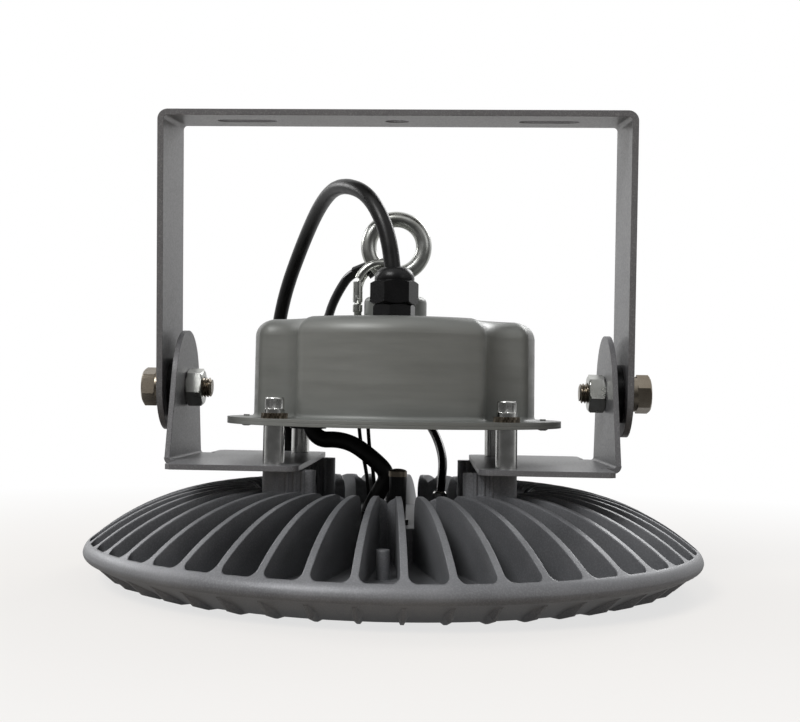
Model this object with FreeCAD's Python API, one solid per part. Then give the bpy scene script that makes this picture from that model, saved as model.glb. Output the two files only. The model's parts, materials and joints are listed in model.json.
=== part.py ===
import FreeCAD, Part
import math
import os

os.makedirs("parts", exist_ok=True)
V = FreeCAD.Vector

# Driving dimensions in millimetres
# The origin is the middle of the face that the lowest underside ribs stand on, Z up
# X runs along the yoke's pivot axis, and -Y is the side that the photograph shows

# Heat sink
SINK_R = 150.0
RIM_Z = 13.7
RIM_LOW_R = SINK_R - 2.4
RIM_LOW_Z = 10.6
RIM_WALL = 3.2
SLOT_END_R = SINK_R - RIM_WALL
SLOT_COUNT = 48
SLOT_END_Z = 18.7
SLOT_CORNER_R = 3.6
SLOT_FLOOR_Z = 15.0
FIN_TOP_R = SINK_R / 2
FIN_TOP_Z = 45.2
FIN_MID_R = SINK_R - 35.0
FIN_MID_Z = 37.6
FIN_INNER_R = 66.0
FIN_T_INNER = 2.3
FIN_T_OUTER = 3.4
CLOSED_SLOT_R = FIN_INNER_R + 4.2
CLOSED_SLOT_POINT = 0.8
HUB_FLOOR_Z = 30.0
PLATE_LOW_Z = 10.0
SEAT_Z = 7.5
SKIRT_R = SINK_R - 22.0
SKIRT_Z = 0.9
RING_LAND = 10.0
RING_STEP_R = SKIRT_R - 10.0
RING_STEP_Z = 3.5
LENS_POCKET_R = RING_STEP_R - RING_LAND
RING_SCREW_R = (RING_STEP_R + LENS_POCKET_R) / 2
CAVITY_R = LENS_POCKET_R - 8.0
PILLAR_STEP = 6
PILLAR_R = 2.8

# Underside ribs, each station a distance out from the skirt's edge and the height of the tip there
RIB_HALF_W = 2.6
RIB_TIP_HALF_W = 0.7
RIB_DEPTH = 3.6
RIB_STATIONS = [(-8.5, 0.6), (-4.0, 0.0), (1.5, 0.2), (9.5, 2.6), (17.0, 9.0)]

# Cast bosses, posts and their M5 screws
BOSS_X = 53.0
BOSS_Y = 56.0
BOSS_R = 4.8
BOSS_INNER_X = 33.5
BOSS_TOP_Z = 54.8
WEB_HALF_W = 3.9
WEB_RIDGES = [39.0, 42.6, 46.2]
WEB_RIDGE_R = 0.9
POST_R = 4.9
POST_L = 17.5
M5_R = 2.5
M5_CLEAR_R = 2.75
M5_HEAD_R = 4.4
M5_HEAD_H = 5.6
M5_LENGTH = 40.0
M5_KEY_FLATS = 4.0
M5_KEY_DEPTH = 2.8
M5_SPRING_R = 4.65
M5_SPRING_T = 1.6
M5_SPRING_SPLIT = 0.8
TOOTHED_R = 6.1
TOOTHED_T = 2.5
TOOTHED_COUNT = 12
TOOTHED_DEPTH = 1.2

# Lug brackets
LUG_T = 2.5
LUG_INNER_X = 40.0
LUG_OUTER_X = 107.3
LUG_HALF_Y = 72.0
LUG_EDGE_X = 100.0
LUG_INNER_ROUND = 6.0
LUG_CORNER_CUT = 2.5
EAR_BASE_HALF = 39.5
EAR_R = 28.7
LUG_BEND_R = 3.6
RELIEF_W = 3.5
RELIEF_DEPTH = 2.5

# Pivot and yoke
PIVOT_Z = 92.0
YOKE_W = 47.5
YOKE_T = 3.0
YOKE_INNER_X = 112.7
YOKE_RISE = 134.8
YOKE_BEND_R = 5.0
YOKE_LEAN = 6.4
YOKE_END_DROP = 21.5
YOKE_HOLE_R = 6.0
YOKE_SLOT_X = 75.5
YOKE_SLOT_L = 30.0
YOKE_SLOT_W = 11.0
TURN_GAP = 0.12

# Pivot bolts
M10_R = 5.0
M10_HOLE_R = 5.5
M10_FLATS = 17.0
M10_HEAD_H = 6.8
M10_NUT_H = 8.2
M10_TAIL = 4.2
FLAT_WASHER_R = 10.0
FLAT_WASHER_T = 2.0
SPRING_WASHER_R = 8.8
SPRING_WASHER_T = 2.6
SPRING_SPLIT = 1.2
DISC_R = 14.5

# Driver housing
PLATE_T = 1.5
FLANGE_R = 83.1
HOUSE_R = 70.0
HOUSE_TOP_Z = 125.6
SHEET_T = 1.7
NOTCH_X = 65.0
NOTCH_Y = 51.1
NOTCH_R = 21.4
NOTCH_BLEND = 8.2
TOP_FILLET = 8.0
FOOT_FILLET = 2.2
COVER_SCREW_X = 74.5
COVER_HEAD_R = 3.0
COVER_HEAD_H = 1.7
COVER_TAIL = 0.8
CROSS_HALF = 1.4
CROSS_HALF_W = 0.35
M3_R = 1.5
M3_CLEAR_R = 1.65

# Grommet in the cover plate
GROMMET_X = -40.0
GROMMET_Y = -30.0
GROMMET_HOLE_R = 7.4
GROMMET_LIP = 1.8

# Driver inside the housing
DRIVER_X = 44.0
DRIVER_Y0 = -17.0
DRIVER_Y1 = 38.0
DRIVER_H = 30.0
DRIVER_FEET = [(-28.0, 43.0), (28.0, 43.0)]
FOOT_T = 1.5
BLOCK = (8.0, 32.0, -50.0, -36.0)
BLOCK_H = 13.0

# Eye bolt and its boss
EYE_BOSS_R = 15.8
EYE_BOSS_TOP_Z = 139.0
EYE_Z = 164.8
EYE_RING_R = 14.0
EYE_WIRE_R = 4.0
EYE_COLLAR_R = 10.0
M8_R = 4.0

# Cable gland
GLAND_X = 0.8
GLAND_Y = -45.0
GLAND_NUT_Z = 131.8
GLAND_NUT_H = 11.0
GLAND_NUT_FLATS = 19.8
GLAND_BASE_FLATS = 17.9
GLAND_DOME_Z = 149.0
GLAND_DOME_TOP_R = 6.1
GLAND_THREAD_R = 8.0
GLAND_NECK_R = 8.2
GLAND_NECK_H = 10.0
LOCKNUT_FLATS = 22.0
LOCKNUT_H = 5.0

# Cables
MAINS_R = 3.9
OUTPUT_R = 3.9
ROPE_R = 2.5
WIRE_R = 0.7
WIRE_CLEAR = 0.25
CORE_R = 1.15
CORE_OFFSET = 1.5
CORE_L = 24.0

# What stands on the hub
HUB_GLAND = (-7.0, -30.0)
HUB_HOLE_R = 6.5
PLUG = (3.7, -45.0)
PLUG_R = 3.9
PLUG_TOP_Z = 55.6
PLUG_CAP_H = 3.6
PLUG_THREAD_R = 3.0
STUD = (24.0, 53.3)
STUD_R = 4.0
STUD_THREAD_R = 2.5
STUD_H = 8.0

# Light side
BOARD_R = CAVITY_R - 3.0
BOARD_T = 1.6
BOARD_HEAD_H = 0.9
CHIP = 3.0
CHIP_H = 0.8
CHIP_RINGS = [(BOARD_R * part, count) for part, count in ((0.23, 8), (0.45, 16), (0.68, 24), (0.91, 30))]
GASKET_T = 1.0
LENS_T = 3.0
LENS_GAP = 0.4
RING_T = 1.5

# Snap hook
HOOK_R = 1.9
GATE_R = 2.4
HOOK_X = -18.7
HOOK_Y = 8.0
HOOK_FOOT_Z = 128.7
GATE_PIN_Z = 137.2
GATE_TOP_Z = 145.9
PIN_R = 0.8
ROPE_EYE_R = 3.9
ROPE_EYE_T = 3.4
SLEEVE_R = 2.95
SLEEVE_L = 8.0

# Heights and places that follow from the sizes above
LUG_TOP_Z = BOSS_TOP_Z + LUG_T
COVER_Z = LUG_TOP_Z + POST_L
FLANGE_Z = COVER_Z + PLATE_T
FLANGE_TOP_Z = FLANGE_Z + SHEET_T
PITCH = 360.0 / SLOT_COUNT
BOSSES = [(sx * BOSS_X, sy * BOSS_Y) for sx in (-1, 1) for sy in (-1, 1)]
NOTCHES = [(sx * NOTCH_X, sy * NOTCH_Y) for sx in (-1, 1) for sy in (-1, 1)]
RING_SCREW_ANGLES = [-90 + i * PITCH for i in range(0, SLOT_COUNT, PILLAR_STEP)]
BOARD_SCREWS = [(15 + 60 * i, BOARD_R - 13.0) for i in range(6)]
BOLT_SEAT = YOKE_INNER_X + YOKE_T + TURN_GAP + FLAT_WASHER_T + SPRING_WASHER_T
EAR_INNER_X = LUG_OUTER_X - LUG_T
NUT_INNER_X = EAR_INNER_X - M10_NUT_H

# Route of the mains cable, from inside the gland to its bare end on the floor
MAINS_ROUTE = [
    (0.8, -45.0, 126.2),
    (0.8, -45.0, 155.8),
    (-10.5, -35.8, 185.0),
    (-27.4, -9.0, 195.8),
    (-39.7, 20.0, 192.6),
    (-53.0, 54.0, 175.4),
    (-67.4, 79.0, 144.3),
    (-73.0, 90.0, 111.0),
    (-63.5, 91.0, 74.0),
    (-67.5, 113.0, 49.0),
    (-80.0, 137.0, 27.0),
    (-84.0, 163.0, 6.0),
    (-70.0, 186.0, 4.0),
    (-38.0, 191.0, 4.0),
    (-2.0, 186.0, 4.0),
    (34.0, 190.0, 4.0),
    (70.0, 184.0, 4.0),
    (100.0, 166.0, 4.0),
    (118.0, 141.0, 4.0),
]
# Route of the output cable, from the driver to the lamp's hub
OUTPUT_ROUTE = [
    (-41.0, -30.0, 84.5),
    (-39.4, -30.0, 67.3),
    (-21.6, -30.0, 68.4),
    (-8.0, -30.0, 59.0),
    (-2.6, -30.0, 50.5),
    (-4.2, -30.0, 38.0),
    (-7.0, -30.0, 27.0),
    (-8.4, -30.0, 17.0),
]
# Route of the safety rope, from the snap hook behind the housing to the hub
ROPE_ROUTE = [
    (-18.0, 12.2, 154.4),
    (-24.4, 16.6, 152.3),
    (-30.0, 25.0, 145.6),
    (-35.0, 34.0, 137.6),
    (-38.2, 43.5, 129.6),
    (-43.0, 57.5, 127.0),
    (-46.5, 72.0, 118.0),
    (-43.0, 87.0, 106.5),
    (-31.0, 97.0, 97.5),
    (-15.0, 101.0, 93.5),
    (-1.5, 98.5, 89.5),
    (9.5, 93.0, 82.5),
    (18.0, 86.0, 73.5),
    (23.4, 75.5, 63.5),
    (25.8, 64.5, 53.5),
    (24.9, 56.0, 44.0),
    (23.8, 52.8, 34.0),
]
# Routes of the two thin sensor wires, from the cover plate to the hub
WIRE_ROUTES = [
    [
        (-16.4, -20.0, 76.0),
        (-15.3, -20.0, 65.2),
        (-12.7, -20.0, 54.5),
        (-11.3, -19.0, 45.0),
        (-10.5, -18.4, 36.6),
        (-9.6, -18.2, 28.6),
    ],
    [
        (-12.0, -19.0, 76.0),
        (-11.3, -19.0, 65.0),
        (-9.5, -17.2, 55.0),
        (-8.4, -15.4, 45.0),
        (-7.6, -14.6, 36.8),
        (-6.6, -14.2, 28.7),
    ],
]
# Route of the hook's wire, from its nose over the bow and round the foot to the gate's hinge
HOOK_ROUTE = [
    (-18.5, -HOOK_Y, 147.7),
    (-16.9, -HOOK_Y, 151.2),
    (-11.6, -HOOK_Y, 155.2),
    (-5.6, -6.4, 156.2),
    (-1.2, 0.0, 160.4),
    (-5.6, 6.4, 156.2),
    (-11.6, HOOK_Y, 155.2),
    (-16.9, HOOK_Y, 151.2),
    (HOOK_X - 0.6, HOOK_Y, 145.0),
    (HOOK_X - 0.9, HOOK_Y, 137.0),
    (HOOK_X - 0.6, HOOK_Y, HOOK_FOOT_Z),
    (HOOK_X, -HOOK_Y, HOOK_FOOT_Z),
    (HOOK_X, -HOOK_Y, GATE_PIN_Z - 2.6),
]


# General shapes

def save(name, shape):
    shape.exportStep("parts/" + name + ".step")
    print(name, "solids", len(shape.Solids), "volume", round(shape.Volume, 1), shape.isValid())


def rod(r, z0, z1, x=0.0, y=0.0):
    return Part.makeCylinder(r, z1 - z0, V(x, y, z0))


def tube(r_out, r_in, z0, z1, x=0.0, y=0.0):
    return rod(r_out, z0, z1, x, y).cut(rod(r_in, z0 - 1, z1 + 1, x, y))


def box(x0, x1, y0, y1, z0, z1):
    return Part.makeBox(x1 - x0, y1 - y0, z1 - z0, V(x0, y0, z0))


def prism(points, z0, z1):
    loop = [V(x, y, z0) for x, y in points]
    face = Part.Face(Part.makePolygon(loop + [loop[0]]))
    return face.extrude(V(0, 0, z1 - z0))


def hexagon(flats, z0, z1, turn=0.0, x=0.0, y=0.0):
    r = flats / 2 / math.cos(math.radians(30))
    angles = [math.radians(turn + 60 * i) for i in range(6)]
    return prism([(x + r * math.cos(a), y + r * math.sin(a)) for a in angles], z0, z1)


def chamfered_hexagon(flats, z0, z1, turn=0.0, x=0.0, y=0.0, low=True, high=True):
    # The corners are turned off by cones, as on a real nut or bolt head
    r = flats / 2 / math.cos(math.radians(30))
    cut = (r - flats / 2 * 0.96) * math.tan(math.radians(30))
    top_r = flats / 2 * 0.96 if high else r
    low_r = flats / 2 * 0.96 if low else r
    profile = [(0, z0), (low_r, z0), (r, z0 + (cut if low else 0))]
    profile += [(r, z1 - (cut if high else 0)), (top_r, z1), (0, z1)]
    return hexagon(flats, z0, z1, turn, x, y).common(revolved(profile, x, y))


def revolved(points, x=0.0, y=0.0):
    loop = []
    for r, z in points:
        p = V(x + r, y, z)
        if not loop or (p - loop[-1]).Length > 1e-6:
            loop.append(p)
    face = Part.Face(Part.makePolygon(loop + [loop[0]]))
    return face.revolve(V(x, y, 0), V(0, 0, 1), 360)


def group(shapes):
    return Part.makeCompound(shapes)


def route_wire(points):
    # Straight runs joined by tangent arcs, each as large as its two runs allow
    p = [V(*q) for q in points]
    edges = []
    start = p[0]
    radii = []
    for i in range(1, len(p) - 1):
        a = (p[i] - p[i - 1])
        b = (p[i + 1] - p[i])
        short = min(a.Length, b.Length)
        a.normalize()
        b.normalize()
        turn = a.getAngle(b)
        reach = 0.45 * short
        radius = reach / math.tan(turn / 2)
        radii.append((round(radius, 1), round(math.degrees(turn))))
        first = p[i] - a * reach
        last = p[i] + b * reach
        inward = (b - a).normalize()
        middle = p[i] + inward * (radius / math.cos(turn / 2) - radius)
        edges.append(Part.LineSegment(start, first).toShape())
        edges.append(Part.Arc(first, middle, last).toShape())
        start = last
    edges.append(Part.LineSegment(start, p[-1]).toShape())
    return Part.Wire(edges), radii


def swept(points, radius, name):
    wire, radii = route_wire(points)
    direction = V(*points[1]) - V(*points[0])
    circle = Part.Wire([Part.Circle(V(*points[0]), direction, radius).toShape()])
    solid = wire.makePipeShell([circle], True, False)
    section = math.pi * radius ** 2
    print(name, "length", round(wire.Length, 1), "least radius", min(radii)[0],
          "volume ratio", round(solid.Volume / section / wire.Length, 4))
    print(name, "radius and turn at each point", radii)
    return solid


# The heat sink

def slot_outline(angle, inner_r, closed):
    # Half widths leave a fin that thickens from its inner end to the rim
    half_pitch = math.radians(PITCH / 2)
    w_in = inner_r * math.sin(half_pitch) - FIN_T_INNER / 2
    side_r = SLOT_END_R - SLOT_CORNER_R
    w_out = SLOT_END_R * math.sin(half_pitch) - FIN_T_OUTER / 2
    c = SLOT_CORNER_R
    k = c * (1 - math.sqrt(0.5))
    pts = [(inner_r, -w_in), (side_r, -w_out), (SLOT_END_R - k, -w_out + k)]
    pts += [(SLOT_END_R, -w_out + c), (SLOT_END_R, w_out - c)]
    pts += [(SLOT_END_R - k, w_out - k), (side_r, w_out), (inner_r, w_in)]
    a = math.radians(angle)

    def place(q, z):
        return V(q[0] * math.cos(a) - q[1] * math.sin(a), q[0] * math.sin(a) + q[1] * math.cos(a), z)

    z = SLOT_FLOOR_Z
    v = [place(q, z) for q in pts]
    edges = [Part.LineSegment(v[0], v[1]).toShape(), Part.Arc(v[1], v[2], v[3]).toShape()]
    edges += [Part.LineSegment(v[3], v[4]).toShape(), Part.Arc(v[4], v[5], v[6]).toShape()]
    edges.append(Part.LineSegment(v[6], v[7]).toShape())
    if closed:
        point = place((inner_r - w_in * CLOSED_SLOT_POINT, 0), z)
        edges.append(Part.LineSegment(v[7], point).toShape())
        edges.append(Part.LineSegment(point, v[0]).toShape())
    else:
        back = [place((FIN_INNER_R - 4, w_in), z), place((FIN_INNER_R - 4, -w_in), z)]
        edges.append(Part.LineSegment(v[7], back[0]).toShape())
        edges.append(Part.LineSegment(back[0], back[1]).toShape())
        edges.append(Part.LineSegment(back[1], v[0]).toShape())
    return Part.Face(Part.Wire(edges)).extrude(V(0, 0, 60))


def underside_rib(angle):
    # Sections of a V-shaped rib, wide where it joins the skirt and narrow at its tip
    a = math.radians(angle)
    wires = []
    for out, z_tip in RIB_STATIONS:
        r = SKIRT_R + out
        pts = []
        for half, z in ((RIB_HALF_W, z_tip + RIB_DEPTH), (RIB_TIP_HALF_W, z_tip)):
            pts.append(((r, -half), z))
            pts.append(((r, half), z))
        order = [pts[0], pts[2], pts[3], pts[1]]
        loop = []
        for (x, y), z in order:
            loop.append(V(x * math.cos(a) - y * math.sin(a), x * math.sin(a) + y * math.cos(a), z))
        wires.append(Part.makePolygon(loop + [loop[0]]))
    return Part.makeLoft(wires, True, True)


def sink_profile():
    # Half section of the casting, round the Z axis
    inner_arc_mid = V(FIN_INNER_R + 2.2, 0, FIN_TOP_Z - 2.6)
    top_start = V(FIN_INNER_R, 0, FIN_TOP_Z - 8.5)
    top = V(FIN_TOP_R, 0, FIN_TOP_Z)
    mid = V(FIN_MID_R, 0, FIN_MID_Z)
    end = V(SLOT_END_R, 0, SLOT_END_Z)
    rim = V(SINK_R, 0, RIM_Z)
    rim_mid = V(SINK_R - 0.9, 0, (RIM_Z + SLOT_END_Z) / 2 + 0.2)
    low = V(RIM_LOW_R, 0, RIM_LOW_Z)
    low_mid = V(SINK_R - 0.7, 0, RIM_LOW_Z + 1.2)
    lines = [
        (V(0, 0, PLATE_LOW_Z), V(0, 0, HUB_FLOOR_Z)),
        (V(0, 0, HUB_FLOOR_Z), V(FIN_INNER_R, 0, HUB_FLOOR_Z)),
        (V(FIN_INNER_R, 0, HUB_FLOOR_Z), top_start),
    ]
    edges = [Part.LineSegment(p, q).toShape() for p, q in lines]
    edges.append(Part.Arc(top_start, inner_arc_mid, top).toShape())
    edges.append(Part.Arc(top, mid, end).toShape())
    edges.append(Part.Arc(end, rim_mid, rim).toShape())
    edges.append(Part.Arc(rim, low_mid, low).toShape())
    under = [
        low,
        V(SKIRT_R, 0, SKIRT_Z),
        V(RING_STEP_R, 0, SKIRT_Z),
        V(RING_STEP_R, 0, RING_STEP_Z),
        V(LENS_POCKET_R, 0, RING_STEP_Z),
        V(LENS_POCKET_R, 0, SEAT_Z),
        V(CAVITY_R, 0, SEAT_Z),
        V(CAVITY_R, 0, PLATE_LOW_Z),
        V(0, 0, PLATE_LOW_Z),
    ]
    for p, q in zip(under, under[1:]):
        edges.append(Part.LineSegment(p, q).toShape())
    return Part.Face(Part.Wire(edges))


def heat_sink():
    body = sink_profile().revolve(V(0, 0, 0), V(0, 0, 1), 360)
    slots = []
    pillars = []
    for i in range(SLOT_COUNT):
        angle = -90 + i * PITCH
        closed = i % 2 == 0
        slots.append(slot_outline(angle, CLOSED_SLOT_R if closed else FIN_INNER_R, closed))
        if i % PILLAR_STEP == 0:
            a = math.radians(angle)
            pillars.append(rod(PILLAR_R, SLOT_FLOOR_Z - 1, 27.0, RING_SCREW_R * math.cos(a),
                               RING_SCREW_R * math.sin(a)))
    body = body.cut(group(slots))
    ribs = [underside_rib(-90 + (i + 0.5) * PITCH) for i in range(SLOT_COUNT)]
    bosses = []
    low = HUB_FLOOR_Z - 12
    for x, y in BOSSES:
        s = 1 if x > 0 else -1
        inner = s * (BOSS_INNER_X + WEB_HALF_W)
        x0, x1 = sorted((inner, x))
        bosses.append(rod(BOSS_R, low, BOSS_TOP_Z, x, y))
        bosses.append(rod(WEB_HALF_W, low, BOSS_TOP_Z, inner, y))
        bosses.append(box(x0, x1, y - WEB_HALF_W, y + WEB_HALF_W, low, BOSS_TOP_Z))
        for ridge in WEB_RIDGES:
            for face in (-WEB_HALF_W, WEB_HALF_W):
                bosses.append(rod(WEB_RIDGE_R, low, BOSS_TOP_Z, s * ridge, y + face))
    body = body.fuse(ribs + pillars + bosses)
    holes = []
    for x, y in BOSSES:
        holes.append(rod(M5_R + 0.05, BOSS_TOP_Z - 20, BOSS_TOP_Z + 1, x, y))
    for angle in RING_SCREW_ANGLES:
        a = math.radians(angle)
        holes.append(rod(M3_R + 0.05, 0, 14.0, RING_SCREW_R * math.cos(a), RING_SCREW_R * math.sin(a)))
    holes.append(rod(HUB_HOLE_R, 0, HUB_FLOOR_Z + 1, HUB_GLAND[0], HUB_GLAND[1]))
    holes.append(rod(PLUG_THREAD_R + 0.05, HUB_FLOOR_Z - 8, HUB_FLOOR_Z + 1, PLUG[0], PLUG[1]))
    holes.append(rod(STUD_THREAD_R + 0.05, HUB_FLOOR_Z - 8, HUB_FLOOR_Z + 1, STUD[0], STUD[1]))
    for route in WIRE_ROUTES:
        x, y, z = route[-1]
        holes.append(rod(WIRE_R + WIRE_CLEAR, z - 0.3, HUB_FLOOR_Z + 1, x, y))
    for angle, r in BOARD_SCREWS:
        a = math.radians(angle)
        holes.append(rod(M3_R + 0.05, 0, PLATE_LOW_Z + 8, r * math.cos(a), r * math.sin(a)))
    return body.cut(group(holes)).removeSplitter()


# What stands on the hub


def hub_bushing(cable):
    x, y = HUB_GLAND
    z = HUB_FLOOR_Z
    body = revolved([(0, z - 6), (HUB_HOLE_R - 0.05, z - 6), (HUB_HOLE_R - 0.05, z), (9.0, z),
                     (9.0, z + 2.2), (7.6, z + 4.6), (0, z + 4.6)], x, y)
    return body.cut(cable)


def vent_plug():
    x, y = PLUG
    z = HUB_FLOOR_Z
    top = PLUG_TOP_Z - PLUG_CAP_H
    return revolved([(0, z - 7), (PLUG_THREAD_R, z - 7), (PLUG_THREAD_R, z), (PLUG_R + 1.2, z),
                     (PLUG_R + 1.2, z + 2.5), (PLUG_R, z + 2.5), (PLUG_R, top), (0, top)], x, y)


def vent_cap():
    x, y = PLUG
    z0 = PLUG_TOP_Z - PLUG_CAP_H
    z1 = PLUG_TOP_Z
    r = PLUG_R + 0.35
    return revolved([(0, z0), (r, z0), (r, z1 - 1.2), (r * 0.87, z1 - 0.65), (r * 0.62, z1 - 0.25),
                     (r * 0.3, z1), (0, z1)], x, y)


def rope_stud(rope):
    x, y = STUD
    z = HUB_FLOOR_Z
    body = revolved([(0, z - 7), (STUD_THREAD_R, z - 7), (STUD_THREAD_R, z), (STUD_R, z),
                     (STUD_R, z + STUD_H - 1), (STUD_R - 0.8, z + STUD_H), (0, z + STUD_H)], x, y)
    return body.cut(rope)


# Light side


def led_board():
    z1 = PLATE_LOW_Z
    z0 = z1 - BOARD_T
    board = rod(BOARD_R, z0, z1)
    holes = [rod(HUB_HOLE_R, z0 - 1, z1 + 1, HUB_GLAND[0], HUB_GLAND[1])]
    for angle, r in BOARD_SCREWS:
        a = math.radians(angle)
        holes.append(rod(M3_R + 0.15, z0 - 1, z1 + 1, r * math.cos(a), r * math.sin(a)))
    return board.cut(group(holes))


def led_chips():
    z1 = PLATE_LOW_Z - BOARD_T
    chips = []
    for r, count in CHIP_RINGS:
        for i in range(count):
            a = 2 * math.pi * i / count
            x = r * math.cos(a)
            y = r * math.sin(a)
            chips.append(box(x - CHIP / 2, x + CHIP / 2, y - CHIP / 2, y + CHIP / 2, z1 - CHIP_H, z1))
    return group(chips)


def board_screws():
    z = PLATE_LOW_Z - BOARD_T
    screws = []
    for angle, r in BOARD_SCREWS:
        a = math.radians(angle)
        x = r * math.cos(a)
        y = r * math.sin(a)
        screws.append(rod(2.6, z - BOARD_HEAD_H, z, x, y).fuse(rod(M3_R, z - 0.1, z + 8, x, y)))
    return group(screws)


def lens_gasket():
    return tube(LENS_POCKET_R - LENS_GAP, CAVITY_R + 0.4, SEAT_Z - GASKET_T, SEAT_Z)


def lens():
    z1 = SEAT_Z - GASKET_T
    return rod(LENS_POCKET_R - LENS_GAP, z1 - LENS_T, z1)


def lens_ring():
    z1 = SEAT_Z - GASKET_T - LENS_T
    ring = tube(RING_STEP_R - LENS_GAP, CAVITY_R, z1 - RING_T, z1)
    holes = []
    for angle in RING_SCREW_ANGLES:
        a = math.radians(angle)
        holes.append(rod(M3_R + 0.15, z1 - 3, z1 + 1, RING_SCREW_R * math.cos(a), RING_SCREW_R * math.sin(a)))
    return ring.cut(group(holes))


def lens_ring_screws():
    z = SEAT_Z - GASKET_T - LENS_T - RING_T
    screws = []
    for angle in RING_SCREW_ANGLES:
        a = math.radians(angle)
        x = RING_SCREW_R * math.cos(a)
        y = RING_SCREW_R * math.sin(a)
        head = revolved([(0, z), (COVER_HEAD_R, z), (COVER_HEAD_R, z - 0.9), (COVER_HEAD_R - 0.8, z - 1.7),
                         (0, z - 1.7)], x, y)
        screws.append(head.fuse(rod(M3_R, z - 0.1, z + 9.0, x, y)))
    return group(screws)


# Lug brackets

def lug_bracket(side):
    # A strip bent up at its outer edge: a plate on two bosses and an ear for the pivot
    s = side
    z0 = BOSS_TOP_Z
    x_in = LUG_OUTER_X - LUG_T
    r_out = LUG_BEND_R
    r_in = r_out - LUG_T
    k_out = r_out * (1 - math.sqrt(0.5))
    k_in = r_in * (1 - math.sqrt(0.5))
    top = PIVOT_Z + EAR_R

    def p(x, z):
        return V(s * x, -LUG_HALF_Y, z)

    edges = [
        Part.LineSegment(p(LUG_INNER_X, z0), p(LUG_OUTER_X - r_out, z0)).toShape(),
        Part.Arc(p(LUG_OUTER_X - r_out, z0), p(LUG_OUTER_X - k_out, z0 + k_out),
                 p(LUG_OUTER_X, z0 + r_out)).toShape(),
        Part.LineSegment(p(LUG_OUTER_X, z0 + r_out), p(LUG_OUTER_X, top)).toShape(),
        Part.LineSegment(p(LUG_OUTER_X, top), p(x_in, top)).toShape(),
        Part.LineSegment(p(x_in, top), p(x_in, z0 + r_out)).toShape(),
        Part.Arc(p(x_in, z0 + r_out), p(x_in - k_in, z0 + LUG_T + k_in),
                 p(x_in - r_in, z0 + LUG_T)).toShape(),
        Part.LineSegment(p(x_in - r_in, z0 + LUG_T), p(LUG_INNER_X, z0 + LUG_T)).toShape(),
        Part.LineSegment(p(LUG_INNER_X, z0 + LUG_T), p(LUG_INNER_X, z0)).toShape(),
    ]
    strip = Part.Face(Part.Wire(edges)).extrude(V(0, 2 * LUG_HALF_Y, 0))
    # Plan outline of the plate, with a relief notch on each side of the ear
    c = LUG_CORNER_CUT
    notch_x = LUG_EDGE_X - RELIEF_DEPTH
    notch_y = EAR_BASE_HALF + RELIEF_W
    half = [(LUG_INNER_X, LUG_HALF_Y), (LUG_EDGE_X - c, LUG_HALF_Y), (LUG_EDGE_X, LUG_HALF_Y - c),
            (LUG_EDGE_X, notch_y), (notch_x, notch_y), (notch_x, EAR_BASE_HALF),
            (LUG_OUTER_X + 1, EAR_BASE_HALF)]
    outline = [(s * x, -y) for x, y in half] + [(s * x, y) for x, y in reversed(half)]
    plate = prism(outline, z0 - 1, z0 + r_out)
    corners = []
    for edge in plate.Edges:
        b = edge.BoundBox
        if b.ZLength > r_out and abs(abs(b.Center.x) - LUG_INNER_X) < 1e-6:
            corners.append(edge)
    plate = plate.makeFillet(LUG_INNER_ROUND, corners)
    # Side outline of the ear, two straight edges that run into its round top
    rise = PIVOT_Z - z0
    swing = math.atan2(EAR_BASE_HALF, rise) + math.acos(EAR_R / math.hypot(EAR_BASE_HALF, rise))
    ty = EAR_R * math.sin(swing)
    tz = PIVOT_Z - EAR_R * math.cos(swing)
    x = min(s * (LUG_OUTER_X + 1), s * (x_in - r_in))
    q = [V(x, -EAR_BASE_HALF, z0), V(x, -ty, tz), V(x, 0, top), V(x, ty, tz), V(x, EAR_BASE_HALF, z0)]
    edges = [Part.LineSegment(q[0], q[1]).toShape(), Part.Arc(q[1], q[2], q[3]).toShape()]
    edges += [Part.LineSegment(q[3], q[4]).toShape(), Part.LineSegment(q[4], q[0]).toShape()]
    ear = Part.Face(Part.Wire(edges)).extrude(V(LUG_T + r_in + 1, 0, 0))
    body = strip.common(plate.fuse(ear)).removeSplitter()
    holes = [rod(M5_CLEAR_R, z0 - 1, z0 + LUG_T + 1, s * BOSS_X, y) for y in (-BOSS_Y, BOSS_Y)]
    across = 2 * LUG_BEND_R + 2 * LUG_T
    start = s * (LUG_OUTER_X - LUG_T / 2) - across / 2
    holes.append(Part.makeCylinder(M10_HOLE_R, across, V(start, 0, PIVOT_Z), V(1, 0, 0)))
    return body.cut(group(holes))


# Posts, their screws and washers

def posts():
    return group([tube(POST_R, M5_CLEAR_R, LUG_TOP_Z, COVER_Z, x, y) for x, y in BOSSES])


def post_screws():
    seat = FLANGE_TOP_Z + TOOTHED_T + M5_SPRING_T
    top = seat + M5_HEAD_H
    screws = []
    for x, y in BOSSES:
        head = rod(M5_HEAD_R, seat, top, x, y)
        rims = [e for e in head.Edges if abs(e.BoundBox.ZMin - top) < 1e-6]
        head = head.makeChamfer(0.5, rims)
        head = head.cut(hexagon(M5_KEY_FLATS, top - M5_KEY_DEPTH, top + 1, 15, x, y))
        screws.append(head.fuse(rod(M5_R, seat - M5_LENGTH, seat + 0.5, x, y)))
    return group(screws)


def post_spring_washers():
    z0 = FLANGE_TOP_Z + TOOTHED_T
    z1 = z0 + M5_SPRING_T
    washers = []
    for x, y in BOSSES:
        split = box(0, 2 * M5_SPRING_R, -M5_SPRING_SPLIT / 2, M5_SPRING_SPLIT / 2, z0 - 1, z1 + 1)
        split.rotate(V(0, 0, 0), V(0, 0, 1), 215)
        split.translate(V(x, y, 0))
        washers.append(tube(M5_SPRING_R, M5_CLEAR_R, z0, z1, x, y).cut(split))
    return group(washers)


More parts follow.
